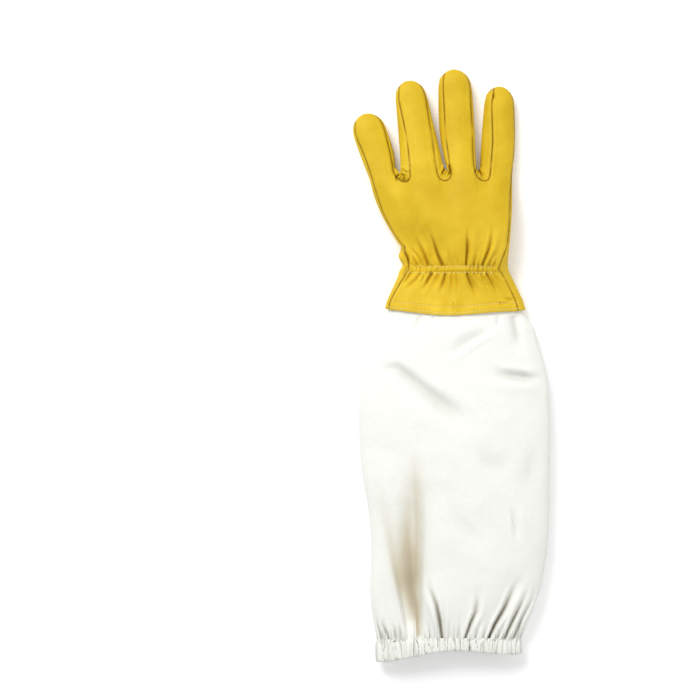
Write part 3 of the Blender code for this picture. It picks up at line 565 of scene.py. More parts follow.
HEM_PLEATS = [
    pleat([(-7, -226), (-8.1, -217), (-9.3, -208), (-12, -196), (-18, -181), (-22, -168)],
          1.2, 2.8, 2.6, 0.3),
    pleat([(10.8, -225), (15.6, -211), (19.7, -202), (21.6, -190), (22.5, -178)], 1.2, 2.3, 2.6, -0.3),
    pleat([(30, -225), (35.7, -212), (42.7, -200), (52, -181), (62, -171)], 1.3, 2.8, 2.4, -0.3),
    pleat([(43.6, -225), (46.3, -218), (51, -208), (60.5, -190), (68, -172)], 1.3, 2.2, 2.4, -0.2),
    pleat([(51, -225), (58, -208), (66, -193), (74, -172)], 1.2, 1.7, 2.4),
    pleat([(-50.7, -226), (-53, -220), (-56, -214), (-59, -203)], 1.0, 1.6),
    pleat([(-45.5, -226), (-46.6, -217), (-48.5, -208)], 0.9, 1.4),
    pleat([(-57, -226), (-60.5, -213), (-63, -197)], 1.1, 1.3),
    pleat([(-40.5, -226), (-41.5, -218), (-43.5, -208)], 0.9, 1.2),
    pleat([(-17, -226), (-18.5, -217), (-21, -208)], 0.9, 1.1),
    pleat([(-1, -226), (-1.5, -216), (-1, -206)], 0.9, 0.9),
    pleat([(5, -226), (6, -218), (8, -211)], 0.9, 0.9),
    pleat([(19, -226), (22, -217), (26, -208)], 0.9, 1.0),
    pleat([(25, -226), (28.5, -218), (32.5, -211)], 0.9, 0.9),
    pleat([(37.5, -225), (41, -217), (45, -210)], 0.9, 1.1),
]
CUFF_FOLDS = [
    stroke([(51, 43), (52.5, 33), (55.5, 22), (58.5, 12)], 3.4, 2.4, 1.2, -0.2, 0.1, end=0.5),
    stroke([(38.5, 42), (38.2, 34), (36, 28)], 1.6, 1.4, 1.6, 0.0, 0.2),
    stroke([(-25, 43), (-27.5, 34), (-34, 24)], 1.8, 1.5, 1.8, 0.2, 0.3, crisp=0.3),
    stroke([(-14.5, 42), (-17, 36)], 1.4, 1.6, 1.6, 0.0, 0.4, crisp=0.3),
    stroke([(-50, 38), (-53, 31), (-58, 20)], 2.0, 0.9, 1.5, 0.0, 0.2, start=0.3),
]
SOFT_FOLDS = [
    stroke([(-66, -3), (-50, -1), (-43.5, -1), (-33.5, -9), (-21, -19), (-4.6, -31), (9, -40), (18, -48)],
           4.2, 3.0, 2.0, -0.4, 0.25, start=0.4, end=0.35),
    stroke([(37, 34), (24.4, 25.7), (12, 19), (3.7, 12.5), (-10, 11)], 3.2, 1.8, 1.3, -0.3, 0.4,
           start=0.35, end=0.5),
    stroke([(75, -11), (57.5, -8), (41, -6), (28, 0)], 3.2, 3.8, 1.5, 0.3, 0.25, start=0.35, end=0.6),
    stroke([(49, -115), (52, -130), (55.5, -146)], 2.6, 1.4, 1.3, 0.4, 0.4, start=0.4, end=0.5),
    stroke([(58, -86), (34, -80), (8, -64)], 8.0, 1.0, 1.2, 0.0, 0.3, start=0.4, end=0.5),
    stroke([(32, -152), (8, -128), (-8, -98)], 9.0, 0.9, 1.2, 0.0, 0.3, start=0.4, end=0.5),
    stroke([(70, -60), (64, -84), (62, -110)], 6.0, 1.0, 1.2, 0.0, 0.3, start=0.4, end=0.5),
]
SOFT_DEEPER = 1.25
for fold in SOFT_FOLDS + CUFF_FOLDS:
    fold["depth"] *= SOFT_DEEPER
SLEEVE_FOLDS = LONG_VALLEY + HEM_PLEATS + CUFF_FOLDS + SOFT_FOLDS
print(len(SLEEVE_FOLDS), "folds in the sleeve")

# %% [markdown]
# The elastic gathers the sleeve's end into fine ruffles about 2.7 mm apart. They run on from the casing into
# the sleeve, so one function gives their wave for both, from how far round the mouth a place is. The mouth
# itself is a flattened oval that rests on its lower side.

# %% The mouth's outline
MOUTH_WIDTH = 119.0
MOUTH_MIDDLE = -1.6
MOUTH_HEIGHT = 21.0
MOUTH_SIDE = 0.45 * MOUTH_HEIGHT
OVAL_POWER = 2.0 / 2.2
UNDERSIDE_FLAT = 1.22
OUTLINE_STEPS = 4001
CASING_TOP_Y = -226.0
CASING_DEPTH = 15.0


def mouth_outline(count):
    """x and z round the mouth, with the outward direction at each place, in millimetres."""
    angles = np.linspace(0.0, 2.0 * math.pi, OUTLINE_STEPS)
    x = np.sign(np.cos(angles)) * np.abs(np.cos(angles)) ** OVAL_POWER * MOUTH_WIDTH / 2.0
    up = np.abs(np.sin(angles)) ** OVAL_POWER
    upper_z = MOUTH_SIDE + (MOUTH_HEIGHT - MOUTH_SIDE) * up
    lower_z = MOUTH_SIDE * (1.0 - np.minimum(1.0, UNDERSIDE_FLAT * up))
    z = np.where(np.sin(angles) > 0.0, upper_z, lower_z)
    run = np.concatenate([[0.0], np.cumsum(np.hypot(np.diff(x), np.diff(z)))])
    even = np.linspace(0.0, run[-1], count, endpoint=False)
    x = np.interp(even, run, x)
    z = np.interp(even, run, z)
    ahead_x = np.roll(x, -2) - np.roll(x, 2)
    ahead_z = np.roll(z, -2) - np.roll(z, 2)
    length = np.hypot(ahead_x, ahead_z)
    return x, z, ahead_z / length, -ahead_x / length


# %% The ruffles' wave
RUFFLES = 100
TURN_STEPS = 1600


def round_noise(turn, size, seed):
    """Noise round a closed ring: turn runs from 0 to 1."""
    angle = 2.0 * math.pi * turn
    return np.array([noise.noise(Vector((size * math.cos(a), size * math.sin(a), seed))) for a in angle])


def ruffle_wave(turn):
    """Round crests and narrow valleys, from about -1 to 0.6, of uneven width and depth."""
    placed = turn * RUFFLES + 1.3 * round_noise(turn, 9.0, 0.3) + 0.45 * round_noise(turn, 30.0, 5.0)
    depth = 0.75 + 0.75 * round_noise(turn, 19.0, 4.0)
    return depth * (1.6 * np.abs(np.sin(math.pi * placed)) ** 0.7 - 1.0)


def nearest_turn(points, wanted):
    """How far round the mouth each wanted point lies, from 0 to 1. The others get 0."""
    x, z, _, _ = mouth_outline(TURN_STEPS)
    tree = tree_of([Vector((a + MOUTH_MIDDLE, 0.0, b)) for a, b in zip(x, z)])
    found = np.zeros(len(points))
    for index in np.flatnonzero(wanted):
        place = Vector((points[index, 0] / MM, 0.0, points[index, 2] / MM))
        found[index] = tree.find(place)[1] / TURN_STEPS
    return found


print("ruffles:", RUFFLES)

# %% [markdown]
# Three subdivisions leave the sleeve's points too far apart for ruffles. A fourth would divide the whole
# sleeve, so only the upper, outer faces near the mouth are halved, and halved again nearest to it.

# %% Split the cloth finer near the mouth
MOUTH_CENTRE = Vector((MOUTH_MIDDLE, 0.0, MOUTH_SIDE)) * MM
SPLIT_ABOVE_Z = 7.0 * MM
FINER_BELOW = -172.0
FINEST_BELOW = -203.0


def faces_out(place, normal):
    """True on the outer skin of the sleeve, and False on its inner one."""
    away = Vector(place) - MOUTH_CENTRE
    return away.x * normal[0] + away.z * normal[2] > 0.0


def split_round(piece, below):
    """Halves the upper, outer faces below a height along y, so that they can hold the mouth's ruffles."""
    mesh = bmesh.new()
    mesh.from_mesh(piece.data)
    mesh.normal_update()
    around = []
    for edge in mesh.edges:
        run = edge.verts[0].co - edge.verts[1].co
        near = all(vert.co.y < below * MM and vert.co.z > SPLIT_ABOVE_Z for vert in edge.verts)
        outside = all(faces_out(vert.co, vert.normal) for vert in edge.verts)
        if near and outside and abs(run.y) < 0.5 * run.length:
            around.append(edge)
    bmesh.ops.subdivide_edges(mesh, edges=around, cuts=1)
    mesh.to_mesh(piece.data)
    mesh.free()
    piece.data.shade_smooth()
    print(piece.name, "now has", len(piece.data.polygons), "faces")


sleeve = smooth_shell("sleeve", "canvas_sleeve", 3)
split_round(sleeve, FINER_BELOW)
split_round(sleeve, FINEST_BELOW)

# %% [markdown]
# Only the upper side moves: the underside lies flat on the table. Above the elastic, the wave adds the small
# ruffles between the pleats, and soft noise makes the cloth limp. The inner skin sinks where the outer one is
# ruffled, so the two never cross. The cloth also bulges a little at both sides, where it leaves the cuff.

# %% Press the sleeve
RUFFLE_HEIGHT = 1.5
RUFFLES_END = 24.0
LEAST_LAYER = 2.4 * MM
points = points_of(sleeve)
outer = np.array([faces_out(point, normal) for point, normal in zip(points, normals_of(sleeve))])
# The upper side counts from 6 mm up, and above y = 43 mm the sleeve is hidden in the cuff.
above = rise((points[:, 2] / MM - 6.0) / 8.0) * rise((43.0 - points[:, 1] / MM) / 4.0)
pressed = stroke_height(points, SLEEVE_FOLDS)
from_casing = np.clip(points[:, 1] / MM - CASING_TOP_Y, 0.0, 200.0)
round_mouth = nearest_turn(points, from_casing < RUFFLES_END)
# The ruffles wander sideways as they run up, and each fades over a length of its own, around 9 mm.
slip = 0.25 * from_casing / CASING_DEPTH * round_noise(round_mouth, 16.0, 8.0)
ruffles_reach = 9.0 + 9.0 * round_noise(round_mouth, 19.0, 3.0)
fade = np.exp(-((from_casing / ruffles_reach) ** 1.4))
wave = ruffle_wave(round_mouth - slip / RUFFLES)
ruffles = RUFFLE_HEIGHT * MM * fade * np.where(outer, wave, -1.0)
# Limp cloth has low lumps 34 mm and 12 mm across.
limp = 1.2 * MM * rumple(points, 34.0, 21) + 0.40 * MM * rumple(points, 12.0, 22)
lowest = np.minimum(points[:, 2], LEAST_LAYER)
points[:, 2] = np.maximum(points[:, 2] + (pressed + ruffles + limp) * above, lowest)

# %% Let the sides bulge below the cuff
half_width = (points[:, 0].max() - points[:, 0].min()) / 2.0
from_middle = (points[:, 0] - (points[:, 0].max() + points[:, 0].min()) / 2.0) / half_width
y = points[:, 1] / MM
bulge = 3.6 * hump(y - 36.0, 9.0) + 1.6 * hump(y + 10.0, 45.0)
points[:, 0] += bulge * MM * np.sign(from_middle) * np.abs(from_middle) ** 3 * rise((44.5 - y) / 4.5)
set_points(sleeve, points)
print("sleeve is", round((points[:, 0].max() - points[:, 0].min()) / MM, 1), "mm wide")

# %% [markdown]
# Handled canvas is painted a little brown where it folds, partly dust and partly painted shade, and painted
# grey, as painted shade, where ruffles, pleats and soft folds press together. The brown has its own strokes
# along the long valley, because it spreads wider than the fold is deep. Both shades are kept as attributes,
# which the canvas finish reads.

# %% Keep the sleeve's shades
DUST_AND_SHADE = [
    stroke([(-31, -218), (-31.5, -199), (-32.6, -178), (-34, -158), (-36, -135), (-35, -110), (-32, -85),
            (-31, -60)], 5.0, 2.2, 1.5, lip=0.0, start=0.16, end=0.8),
    stroke([(-28.5, -190), (-28.6, -158), (-28.4, -125), (-29.5, -95), (-33, -60)],
           3.4, 1.0, 1.6, -0.5, lip=0.0, start=0.2, end=0.5),
    stroke([(-37, -205), (-41.8, -184), (-48, -156), (-54, -125), (-61, -98), (-66, -80)],
           3.0, 1.1, 1.8, lip=0.0, start=0.3, end=0.9),
    stroke([(-34, -200), (-39, -165), (-42, -140), (-43, -118)],
           6.5, 1.3, 1.4, lip=0.0, start=0.3, end=0.7),
    stroke([(-26.8, -224), (-27.4, -212), (-28.2, -198), (-29.5, -182)],
           1.8, 1.8, 1.6, lip=0.0, start=0.1, end=0.7),
]
PLEAT_LINES = [dict(fold, width=0.85 * fold["width"], crisp=0.2, lip=0.0) for fold in HEM_PLEATS]


def depth_past(folds, least, most):
    """How much deeper than least these folds press the sleeve, up to most, in millimetres."""
    return np.clip(-stroke_height(points, folds) / MM - least, 0.0, most)


# Brown in the folds is partly dust and partly painted shade, and the pleats add painted shade to it.
dust_and_shade = -stroke_height(points, DUST_AND_SHADE) / MM + 0.3 * depth_past(HEM_PLEATS, 0.4, 2.5)
keep_attribute(sleeve, "fold_depth", np.clip(dust_and_shade * above, 0.0, 4.0))
# gap_depth is painted grey shade in the pleat lines, the ruffles' valleys and the soft folds.
gap = 0.6 * depth_past(PLEAT_LINES, 0.5, 2.5) + 1.7 * fade * np.clip(-wave - 0.2, 0.0, 1.0)
gap += 0.16 * depth_past(SOFT_FOLDS + CUFF_FOLDS, 0.4, 3.0)
keep_attribute(sleeve, "gap_depth", np.clip(gap * above, 0.0, 3.0))
print("deepest dust", round(float(dust_and_shade.max()), 1), "deepest gap", round(float(gap.max()), 1))

# %% [markdown]
# ## The elastic casing
# The sleeve's end is folded over a flat elastic and sewn down. It could be swept along the mouth's outline,
# but each ruffle leans and swells in its own way, so its points are placed one by one. An open cylinder with
# eight points to a ruffle, a third of a millimetre apart, can hold them. It is subdivided across its depth,
# and starts on the sleeve's last ring, so that the two look like one cloth.

# %% Find the sleeve's end
END_RING = (CASING_TOP_Y + 0.3, CASING_TOP_Y + 1.7)


def sleeve_end(x, z):
    """For places on the mouth's outline, the nearest places on the sleeve's outer side at its end."""
    points = points_of(sleeve) / MM
    points = points[(points[:, 1] > END_RING[0]) & (points[:, 1] < END_RING[1])]
    tree = tree_of([Vector((point[0], 0.0, point[2])) for point in points])
    end_x = np.zeros(len(x))
    end_z = np.zeros(len(z))
    middle = Vector((MOUTH_MIDDLE, 0.0, MOUTH_SIDE))
    for number, (a, b) in enumerate(zip(x, z)):
        here = Vector((a + MOUTH_MIDDLE, 0.0, b))
        near = [tree.find(here.lerp(middle, -0.03))[0]] + [found[0] for found in tree.find_n(here, 6)]
        best = max(near, key=lambda place: (place - middle).dot((here - middle).normalized()))
        end_x[number] = best.x
        end_z[number] = best.z
    return smooth_ring(end_x), smooth_ring(end_z)


def smooth_ring(values):
    """Each value moved a little towards its two neighbours round a ring."""
    return (np.roll(values, 1) + 2.0 * values + np.roll(values, -1)) / 4.0


# %% [markdown]
# Round its depth the casing puffs over the elastic, its lower edge arches and slants as the mouth lies, and
# each ruffle slips a little sideways on its way down. A Solidify modifier then gives it its wall.

# %% Model the casing
STEPS_EACH = 8
CASING_BANDS = 12
CASING_WALL = 2.0
LINE_ARCH = 6.5
LINE_SLANT = 3.5
TOP_SHARE = 0.2  # how much of the arch and slant the casing's upper line has
BELLY = 0.7
RUFFLE_OUT = 1.1
RUFFLE_SLIP = 2.2
OVERLAP = 0.9
BLEND_SHARE = 0.3  # the part of its depth over which the casing leaves the sleeve's own outline


def ruffled_casing():
    """The casing, from a cylinder whose points are set along the mouth, ring by ring."""
    count = RUFFLES * STEPS_EACH
    bpy.ops.mesh.primitive_cylinder_add(vertices=count, radius=1.0, depth=1.0, end_fill_type="NOTHING")
    made = bpy.context.object
    made.name = made.data.name = "canvas_casing"
    mesh = bmesh.new()
    mesh.from_mesh(made.data)
    upright = [edge for edge in mesh.edges if abs(edge.verts[0].co.z - edge.verts[1].co.z) > 0.5]
    bmesh.ops.subdivide_edges(mesh, edges=upright, cuts=CASING_BANDS - 1, use_grid_fill=True)
    x, z, out_x, out_z = mouth_outline(count)
    turn = np.arange(count) / count
    wave = ruffle_wave(turn)
    slip = round_noise(turn, 16.0, 8.0)
    ragged = round_noise(turn, 40.0, 2.0)
    depth = mesh.verts.layers.float.new("fold_depth")
    gap = mesh.verts.layers.float.new("gap_depth")
    end_x, end_z = sleeve_end(x, z)
    for vert in mesh.verts:
        number = int(round(math.atan2(vert.co.y, vert.co.x) / (2.0 * math.pi) * count)) % count
        share = 0.5 - vert.co.z  # 0 at the sleeve, and 1 at the lower edge
        belly = math.sin(math.pi * min(1.0, max(0.0, share))) ** 0.6
        moved = (number + int(round(RUFFLE_SLIP * STEPS_EACH * share * slip[number]))) % count
        out = BELLY * belly + RUFFLE_OUT * wave[moved]
        line = LINE_ARCH * math.cos(math.pi * x[number] / MOUTH_WIDTH) ** 2
        line += LINE_SLANT * 2.0 * x[number] / MOUTH_WIDTH
        y = CASING_TOP_Y + OVERLAP - (CASING_DEPTH + 0.6) * share
        y += (TOP_SHARE + (1.0 - TOP_SHARE) * share) * line
        y += share * (0.5 * wave[moved] + 1.2 * ragged[number]) + (1.0 - share) * 0.9 * wave[number]
        # Each ruffle's valley is painted browner and greyer, as painted shade.
        vert[depth] = 0.5 * max(0.0, -wave[moved])
        vert[gap] = 2.4 * max(0.0, -wave[moved] - 0.1)
        own = 1.0 - (1.0 - min(1.0, max(0.0, share) / BLEND_SHARE)) ** 2
        across = end_x[number] + own * (x[number] + MOUTH_MIDDLE + out * out_x[number] - end_x[number])
        up = end_z[number] + own * (z[number] + out * out_z[number] - end_z[number])
        vert.co = Vector((across, y, up)) * MM
        vert.co.z = max(vert.co.z, CLEAR_OF_TABLE)
    bmesh.ops.recalc_face_normals(mesh, faces=mesh.faces)
    outward_faces = sum(faces_out(face.calc_center_median(), face.normal) for face in mesh.faces)
    if outward_faces < len(mesh.faces) / 2:
        bmesh.ops.reverse_faces(mesh, faces=mesh.faces)
    mesh.to_mesh(made.data)
    mesh.free()
    made.select_set(False)
    apply_modifier(made, "SOLIDIFY", thickness=CASING_WALL * MM, offset=-1.0)
    made.data.shade_smooth()
    return made


casing = ruffled_casing()
print("casing faces:", len(casing.data.polygons))

# %% [markdown]
# ## Thread
# Two rows of cream thread hold the elastic across the wrist, and two more hold the cuff's turned edge. A
# lockstitch shows as short raised dashes whose ends dive into the leather. One dash is made from a sphere,
# and copies are set along each row, each on the leather beneath it.

# %% Set stitches along a row
STITCH_LENGTH = 2.2
STITCH_GAP = 0.9
LOWEST_STITCH = 8.0 * MM
ABOVE_LEATHER = 0.15 * MM


def one_stitch(thickness):
    """One dash of thread along x, a little flatter than it is wide."""
    bpy.ops.mesh.primitive_uv_sphere_add(segments=8, ring_count=6, radius=1.0)
    made = bpy.context.object
    made.rotation_euler = (0.0, math.radians(90.0), 0.0)
    bpy.ops.object.transform_apply(location=False, rotation=True, scale=False)
    made.scale = (STITCH_LENGTH * MM / 2.0, thickness * MM / 2.0, thickness * MM / 2.4)
    bpy.ops.object.transform_apply(location=False, rotation=False, scale=True)
    shape = bmesh.new()
    shape.from_mesh(made.data)
    bpy.data.objects.remove(made)
    return shape


def surface_of(pieces):
    """A tree of the pieces' faces, for rays to hit."""
    mesh = bmesh.new()
    for piece in pieces:
        mesh.from_mesh(piece.data)
    tree = BVHTree.FromBMesh(mesh)
    mesh.free()
    return tree


def stitch_rows(name, rows, under, thickness):
    """Rows of stitches on the pieces under them. Each row is a function from x to y, with its two ends."""
    tree = surface_of(under)
    shape = one_stitch(thickness)
    pitch = STITCH_LENGTH + STITCH_GAP
    joined = bmesh.new()
    count = 0
    for line, start, end in rows:
        for step in range(int((end - start) / pitch)):
            x = start + step * pitch
            hit, normal, _, _ = tree.ray_cast(Vector((x * MM, line(x) * MM, 0.1)), Vector((0.0, 0.0, -1.0)))
            if hit is None or hit.z < LOWEST_STITCH:
                continue
            up = (normal + Vector((0.0, 0.0, 1.0))).normalized()
            ahead = Vector((1.0, line(x + 0.5) - line(x - 0.5), 0.0))
            ahead = (ahead - up * ahead.dot(up)).normalized()
            turned = Matrix((ahead, up.cross(ahead), up)).transposed().to_4x4()
            turned.translation = hit + up * ABOVE_LEATHER
            moved = {vert: joined.verts.new(turned @ vert.co) for vert in shape.verts}
            for face in shape.faces:
                joined.faces.new([moved[vert] for vert in face.verts])
            count += 1
    shape.free()
    made = new_piece(name, joined)
    made.data.shade_smooth()
    print(name, count, "stitches")
    return made


wrist_rows = [(lambda x, row=row: row + 0.25 * math.sin(x / 7.0), *WRIST_ROW_X) for row in WRIST_ROWS_Y]
wrist_thread = stitch_rows("wrist_thread", wrist_rows, [back], thickness=0.8)
cuff_rows = [
    (lambda x: cuff_line(x) + UPPER_ROW, -48.0, 58.0),
    (lambda x: cuff_line(x) + LOWER_ROW, -51.0, 59.0),
]
cuff_thread = stitch_rows("cuff_thread", cuff_rows, [back, palm], thickness=0.6)

# %% [markdown]
# ## Finishes
# Colours are read as sRGB hex, as in a paint program, and Blender's shaders want linear light, so one
# function turns them. One more adds a node with its settings and links. Every pattern sits on Object
# coordinates and is scaled from a real size in millimetres.

# %% Colour and node helpers
def linear(hex_colour):
    """Linear red, green, blue and alpha from an sRGB hex colour such as #FFFFFF."""
    light = []
    for at in (1, 3, 5):
        part = int(hex_colour[at : at + 2], 16) / 255.0
        light.append(part / 12.92 if part <= 0.04045 else ((part + 0.055) / 1.055) ** 2.4)
    return (*light, 1.0)


def add(material, kind, inputs=(), **settings):
    """Adds a node. inputs maps a socket to a value, or to another node's output socket."""
    tree = material.node_tree
    made = tree.nodes.new(kind)
    for key, value in settings.items():
        setattr(made, key, value)
    for key, value in dict(inputs).items():
        if isinstance(value, bpy.types.NodeSocket):
            tree.links.new(value, made.inputs[key])
        else:
            made.inputs[key].default_value = value
    return made


def blank_material(name):
    material = bpy.data.materials.new(name)
    material.use_nodes = True
    material.node_tree.nodes.clear()
    return material


def ramp(material, factor, stops):
    """A colour ramp: stops are pairs of a place from 0 to 1 and a hex colour."""
    made = add(material, "ShaderNodeValToRGB", {"Fac": factor})
    for _ in range(len(stops) - 2):
        made.color_ramp.elements.new(0.5)
    for element, (place, colour) in zip(made.color_ramp.elements, stops):
        element.position = place
        element.color = linear(colour)
    return made.outputs["Color"]


def shade_by(material, name, most, stops):
    """Colours by a piece's attribute, as it goes from 0 to most."""
    value = add(material, "ShaderNodeAttribute", attribute_name=name).outputs["Fac"]
    share = add(material, "ShaderNodeMapRange", {"Value": value, "From Min": 0.0, "From Max": most})
    return ramp(material, share.outputs["Result"], stops)


def multiplied(material, first, *others):
    """Colours multiplied together. In a Mix node for colours, sockets 6 and 7 are A and B."""
    for other in others:
        mixed = {0: 1.0, 6: first, 7: other}
        first = add(material, "ShaderNodeMix", mixed, data_type="RGBA", blend_type="MULTIPLY").outputs[2]
    return first


def finish_surface(material, shader):
    add(material, "ShaderNodeOutputMaterial", {"Surface": shader.outputs[0]})
    return material


# %% [markdown]
# Goatskin glove leather is drum-dyed and left nearly matt. The eye sees a fine pebbled grain about 0.8 mm
# across, a soft cloudy change of tone over a few centimetres, and a dark line where two edges are sewn,
# painted as shadow and dirt. Folds are painted a touch browner, as painted shade. The hand is painted a
# shade deeper than the cuff, as painted shade, so that the wrist end stands lighter as painted light.
# A noise of scale 1 has lumps about 1 m across, so a scale is 1 divided by the lumps' size in metres.

# %% Yellow goatskin, drum-dyed
CLOUDS_SCALE = 38.0  # lumps of tone, 26 mm across
WRINKLES_SCALE = 420.0  # fine wrinkles, 2.4 mm across
PEBBLES_SCALE = 1250.0  # grain, 0.8 mm across
HAND_SHADE_FROM_Y = 0.098
HAND_SHADE_FULL_Y = 0.135


def yellow_goatskin():
    """Nearly matt, pebbled leather, no clear highlight: painted shadow and dirt at seams, painted shade in
    folds.
    """
    material = blank_material("yellow_goatskin_drum_dyed")
    place = add(material, "ShaderNodeTexCoord").outputs["Object"]
    lumps = {"Vector": place, "Scale": CLOUDS_SCALE, "Detail": 4.0, "Roughness": 0.6}
    clouds = add(material, "ShaderNodeTexNoise", lumps).outputs["Fac"]
    tone = ramp(material, clouds, [(0.3, "#D4AF1C"), (0.5, "#DBB724"), (0.7, "#E2C02C")])
    # The seam line is painted shadow and dirt, and the crease ramp paints shade into the folds.
    seam = shade_by(material, "seam_distance", 1.1, [(0.0, "#8A7638"), (0.5, "#D6CA9C"), (1.0, "#FFFFFF")])
    crease = shade_by(material, "crease", 1.6, [(0.0, "#FFFFFF"), (1.0, "#C4B282")])
    # Up the hand the leather is painted a little darker, as painted shade, and the wrist end stays lighter as
    # painted light.
    height = add(material, "ShaderNodeSeparateXYZ", {"Vector": place}).outputs["Y"]
    span = {"Value": height, "From Min": HAND_SHADE_FROM_Y, "From Max": HAND_SHADE_FULL_Y}
    up_the_hand = add(material, "ShaderNodeMapRange", span).outputs["Result"]
    hand_painted_shade = ramp(material, up_the_hand, [(0.0, "#FFFFFF"), (1.0, "#F5F5DB")])
    cells = {"Vector": place, "Scale": PEBBLES_SCALE}
    grain = add(material, "ShaderNodeTexVoronoi", cells, feature="SMOOTH_F1").outputs["Distance"]
    pressed_in = add(material, "ShaderNodeBump", {"Height": grain, "Strength": 0.25, "Distance": 0.0003})
    fine = {"Vector": place, "Scale": WRINKLES_SCALE, "Detail": 6.0, "Roughness": 0.65}
    wrinkles = add(material, "ShaderNodeTexNoise", fine).outputs["Fac"]
    bump = add(material, "ShaderNodeBump", {
        "Height": wrinkles, "Strength": 0.4, "Distance": 0.0006, "Normal": pressed_in.outputs["Normal"],
    })
    shader = add(material, "ShaderNodeBsdfPrincipled", {
        "Base Color": multiplied(material, tone, hand_painted_shade, seam, crease),
        "Roughness": 0.6, "IOR": 1.45, "Specular IOR Level": 0.3, "Normal": bump.outputs["Normal"],
    })
    return finish_surface(material, shader)


# %% [markdown]
# Washed cotton canvas is off-white and quite matt, with a short fuzz. Its threads are about 0.5 mm apart,
# too fine to show at this size, so the weave is drawn about 2.2 mm apart. Thicker places in the yarn, called
# slubs, show as lumps of about 4 mm. Deep folds are painted warm brown, partly dust and partly painted shade,
# and pressed ruffles and pleats are painted grey as painted shade.

# %% Off-white cotton canvas, plain weave
WEAVE_SCALE = 145.0  # a Wave texture's bands lie 0.314 m / scale apart: 2.2 mm
SLUBS_SCALE = 260.0  # 3.8 mm across


def cotton_canvas():
    """Matt white cloth, almost no highlight: brown dust and painted shade in folds, painted grey shade where
    pressed.
    """
    material = blank_material("off_white_cotton_canvas")
    place = add(material, "ShaderNodeTexCoord").outputs["Object"]
    threads = {"Vector": place, "Scale": WEAVE_SCALE, "Distortion": 0.6, "Detail": 2.0, "Detail Scale": 1.5}
    across = add(material, "ShaderNodeTexWave", threads, bands_direction="X").outputs["Fac"]
    along = add(material, "ShaderNodeTexWave", threads, bands_direction="Y").outputs["Fac"]
    weave = add(material, "ShaderNodeMath", {0: across, 1: along}, operation="ADD").outputs[0]
    woven = add(material, "ShaderNodeBump", {"Height": weave, "Strength": 0.10, "Distance": 0.0002})
    lumps = {"Vector": place, "Scale": SLUBS_SCALE, "Detail": 5.0, "Roughness": 0.6}
    slubs = add(material, "ShaderNodeTexNoise", lumps).outputs["Fac"]
    bump = add(material, "ShaderNodeBump", {
        "Height": slubs, "Strength": 0.20, "Distance": 0.0004, "Normal": woven.outputs["Normal"],
    })
    clean = ramp(material, slubs, [(0.3, "#ECEDE6"), (0.7, "#F0F1EB")])
    # The fold_depth ramp paints brown, partly dust and partly painted shade; the gap_depth ramp paints grey
    # shade.
    dusty_and_shaded = shade_by(material, "fold_depth", 3.5, [(0.0, "#FFFFFF"), (0.5, "#D8CDB8"), (1.0, "#AD9E89")])
    shaded = shade_by(material, "gap_depth", 2.0, [(0.0, "#FFFFFF"), (1.0, "#8C877C")])
    shader = add(material, "ShaderNodeBsdfPrincipled", {
        "Base Color": multiplied(material, clean, dusty_and_shaded, shaded),
        "Roughness": 0.92, "Specular IOR Level": 0.15, "Normal": bump.outputs["Normal"],
    })
    return finish_surface(material, shader)


# %% [markdown]
# The thread is spun polyester in cream. Its twist of about 0.5 mm is too fine to show, so slanting ridges
# are drawn about 2 mm apart along a stitch, with painted shade between them, just enough to break up the
# tone.

# %% Cream sewing thread
TWIST_SCALE = 300.0  # a Wave texture's diagonal bands lie 0.628 m / scale apart along x: 2.1 mm


def cream_thread():
    """Dull cream thread, painted a little darker between its ridges as painted shade."""
    material = blank_material("cream_spun_polyester_thread")
    place = add(material, "ShaderNodeTexCoord").outputs["Object"]
    ridges = {"Vector": place, "Scale": TWIST_SCALE, "Distortion": 0.4}
    twist = add(material, "ShaderNodeTexWave", ridges, bands_direction="DIAGONAL").outputs["Fac"]
    tone = ramp(material, twist, [(0.0, "#E2CC78"), (1.0, "#EEDD92")])
    bump = add(material, "ShaderNodeBump", {"Height": twist, "Strength": 0.4, "Distance": 0.0001})
    shader = add(material, "ShaderNodeBsdfPrincipled", {
        "Base Color": tone, "Roughness": 0.6, "Normal": bump.outputs["Normal"],
    })
    return finish_surface(material, shader)


# %% Put the finishes on
for finish, pieces in (
    (yellow_goatskin(), [back, palm, thumb, *strips]),
    (cotton_canvas(), [sleeve, casing]),
    (cream_thread(), [wrist_thread, cuff_thread]),
):
    for piece in pieces:
        piece.data.materials.clear()
        piece.data.materials.append(finish)
    print(finish.name, "on", len(pieces), "pieces")

# %% [markdown]
# ## Tie the pieces to the model
# Each piece rides with the glove's one body and stands for the shell that it came from. The sleeve is a
# sheet of canvas, cut about 350 mm wide and 300 mm long before it was sewn, with the casing as its hem.

# %% Ride and replace
STANDS_FOR = {
    "back_panel": back,
    "palm_panel": palm,
    "thumb": thumb,
    "fourchette_little_ring": strips[0],
    "fourchette_ring_middle": strips[1],
    "fourchette_middle_index": strips[2],
    "sleeve": sleeve,
    "elastic_hem": casing,
}
for node, piece in STANDS_FOR.items():
    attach(piece, "root")
    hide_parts(node)
for piece in (wrist_thread, cuff_thread):
    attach(piece, "root")

# %% [markdown]
# ## Floor, light and camera
# The glove lies on white paper and is seen from straight above, through a long lens, so that nothing leans.
# A strong soft light from the upper left draws the folds. Two weaker ones, at the lower right and overhead,
# and a white sky keep the shadows pale. The paper glows a little, so that it stays pure white beside them.

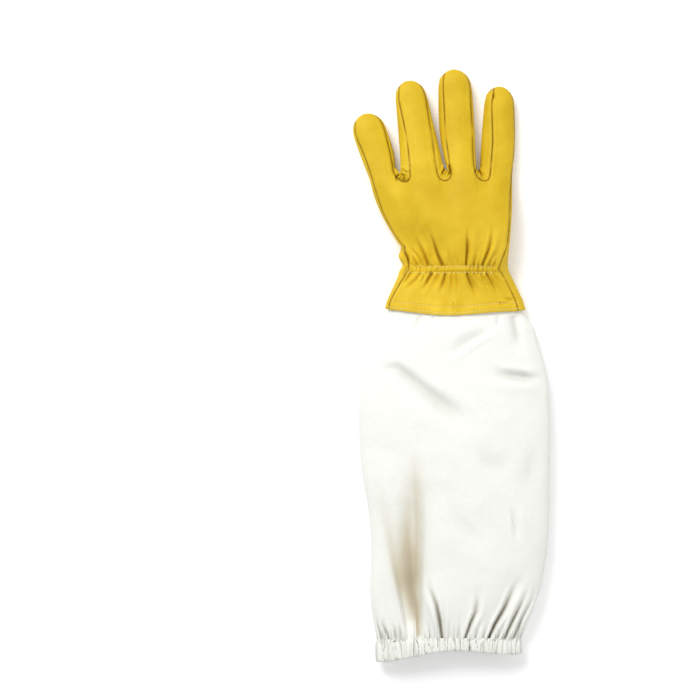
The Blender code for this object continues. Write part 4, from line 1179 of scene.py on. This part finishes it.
# %% Lay the paper
PAPER_SIZE = 6.0
BELOW_GLOVE = 0.0002
bpy.ops.mesh.primitive_plane_add(size=PAPER_SIZE, location=(0.0, 0.0, -BELOW_GLOVE))
floor = bpy.context.object
floor.name = "floor"
paper = blank_material("matt_white_paper")
paper_place = add(paper, "ShaderNodeTexCoord").outputs["Object"]
paper_grain = add(paper, "ShaderNodeTexNoise", {"Vector": paper_place, "Scale": 300.0, "Detail": 3.0})
paper_tone = ramp(paper, paper_grain.outputs["Fac"], [(0.0, "#FCFCFC"), (1.0, "#FFFFFF")])
finish_surface(paper, add(paper, "ShaderNodeBsdfPrincipled", {
    "Base Color": paper_tone, "Roughness": 0.9,
    "Emission Color": linear("#FFFFFF"), "Emission Strength": 0.1,
}))
floor.data.materials.append(paper)


# %% Light the glove
SKY_STRENGTH = 0.44


def soft_light(name, place, size, power):
    """A square light that looks at the glove."""
    lamp = bpy.data.lights.new(name, "AREA")
    lamp.size = size
    lamp.energy = power
    made = bpy.data.objects.new(name, lamp)
    made.location = place
    made.rotation_euler = Vector(place).to_track_quat("Z", "Y").to_euler()
    bpy.context.scene.collection.objects.link(made)


soft_light("upper_left_window", (-0.75, 1.2, 1.4), 1.0, 28.0)
soft_light("right_window", (1.4, -0.6, 1.6), 1.5, 9.5)
soft_light("overhead", (0.1, -0.3, 2.2), 1.6, 6.5)
world = bpy.data.worlds.new("white_room")
bpy.context.scene.world = world
world.use_nodes = True
sky = world.node_tree.nodes["Background"]
sky.inputs["Color"].default_value = linear("#FFFFFF")
sky.inputs["Strength"].default_value = SKY_STRENGTH
print("lights:", len(bpy.data.lights))

# %% Point the camera
SENSOR_WIDTH = 36.0
CAMERA_HEIGHT = 3.0
FRAME_WIDTH = 0.5794
VIEW_MIDDLE = (-0.0832, 0.0132)
lens = bpy.data.cameras.new("camera")
lens.sensor_width = SENSOR_WIDTH
lens.lens = SENSOR_WIDTH * CAMERA_HEIGHT / FRAME_WIDTH
camera = bpy.data.objects.new("camera", lens)
camera.location = (*VIEW_MIDDLE, CAMERA_HEIGHT)
bpy.context.scene.collection.objects.link(camera)
bpy.context.scene.camera = camera
bpy.context.scene.view_settings.view_transform = "Standard"
